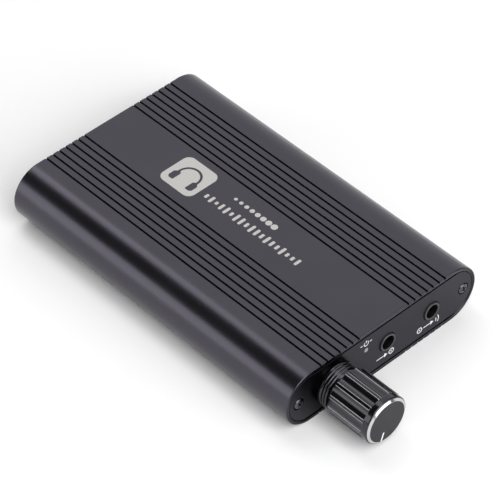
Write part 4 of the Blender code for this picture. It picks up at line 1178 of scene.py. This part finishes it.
# -------- studio
def make_camera():
    data = bpy.data.cameras.new("camera")
    data.lens = CAMERA_LENS
    data.sensor_width = 36.0
    data.clip_start = 0.01
    data.clip_end = 20.0
    camera = new_piece("camera", data)
    camera.matrix_world = (Matrix.Translation(CAMERA_PLACE) @ Matrix.Rotation(CAMERA_AZIMUTH, 4, "Z")
                           @ Matrix.Rotation(math.pi / 2 - CAMERA_ELEVATION, 4, "X")
                           @ Matrix.Rotation(CAMERA_ROLL, 4, "Z"))
    bpy.context.scene.camera = camera


def make_floor():
    material, tree, shader, place = new_material("pale_matt_floor", "#f8f8f8", 0.9)
    mottle = add(tree, "ShaderNodeTexNoise", [("Vector", place), ("Scale", per_metre(125))])
    tone = add(tree, "ShaderNodeMix",
               [("Factor", mottle), ("A", linear("#f5f5f5")), ("B", linear("#fafafa"))], data_type="RGBA")
    feed(tree, shader, [("Base Color", tone)])
    rim = [(x, y, 0) for x, y in circle(FLOOR_RADIUS)]
    floor = new_piece("floor", mesh_of("floor", rim, [range(len(rim))]), material)


def make_world():
    """The backdrop is white to the camera, and dim in reflections, as black card is round a product."""
    world = bpy.data.worlds.new("studio")
    world.use_nodes = True
    tree = world.node_tree
    seen = add(tree, "ShaderNodeLightPath").outputs["Is Camera Ray"]
    strength = add(tree, "ShaderNodeMapRange", [("Value", seen), ("To Min", 0.08), ("To Max", 1.0)])
    feed(tree, tree.nodes["Background"], [("Color", (1.0, 1.0, 1.0, 1.0)), ("Strength", strength)])
    bpy.context.scene.world = world


def mirrored(side_angle):
    """A direction that the case's long faces mirror to the camera, by its angle from overhead to the left."""
    backward, aside = 0.519, 0.855
    a = math.radians(side_angle)
    return (-aside * math.sin(a), backward, aside * math.cos(a))


def make_lights():
    """Soft boxes that face the object: direction and distance, width, height and radiance."""
    for name, towards, distance, width, height, radiance in (
            ("overhead_soft_box", mirrored(-4), 1.2, 0.38, 1.3, 1.9),
            ("right_soft_box", mirrored(-51), 1.3, 1.75, 1.3, 0.98),
            ("left_soft_box", mirrored(73), 1.2, 0.6, 1.3, 1.9),
            ("front_soft_box", (0.1, -1.0, 0.42), 1.3, 1.8, 1.0, 2.9),
            ("camera_side_soft_box", (-0.25, -0.62, 1.0), 1.4, 1.2, 0.8, 3.9)):
        light = bpy.data.lights.new(name, "AREA")
        light.shape = "RECTANGLE"
        light.size = width
        light.size_y = height
        light.energy = radiance * math.pi * width * height
        way = Vector(towards).normalized()
        across = Vector((way.z, 0, -way.x)).normalized()
        turn = Matrix((across, way.cross(across), way)).transposed().to_4x4()
        new_piece(name, light).matrix_world = Matrix.Translation(way * distance) @ turn


make_case()
make_ledges()
make_plates()
make_screws()
make_jacks()
make_knob()
make_pointer()
make_light_pins()
make_charging_socket()
make_gain_lever()
make_top_print()
make_front_print()
dress_inner_parts()
make_camera()
make_floor()
make_world()
make_lights()
bpy.context.scene.view_settings.view_transform = "Standard"
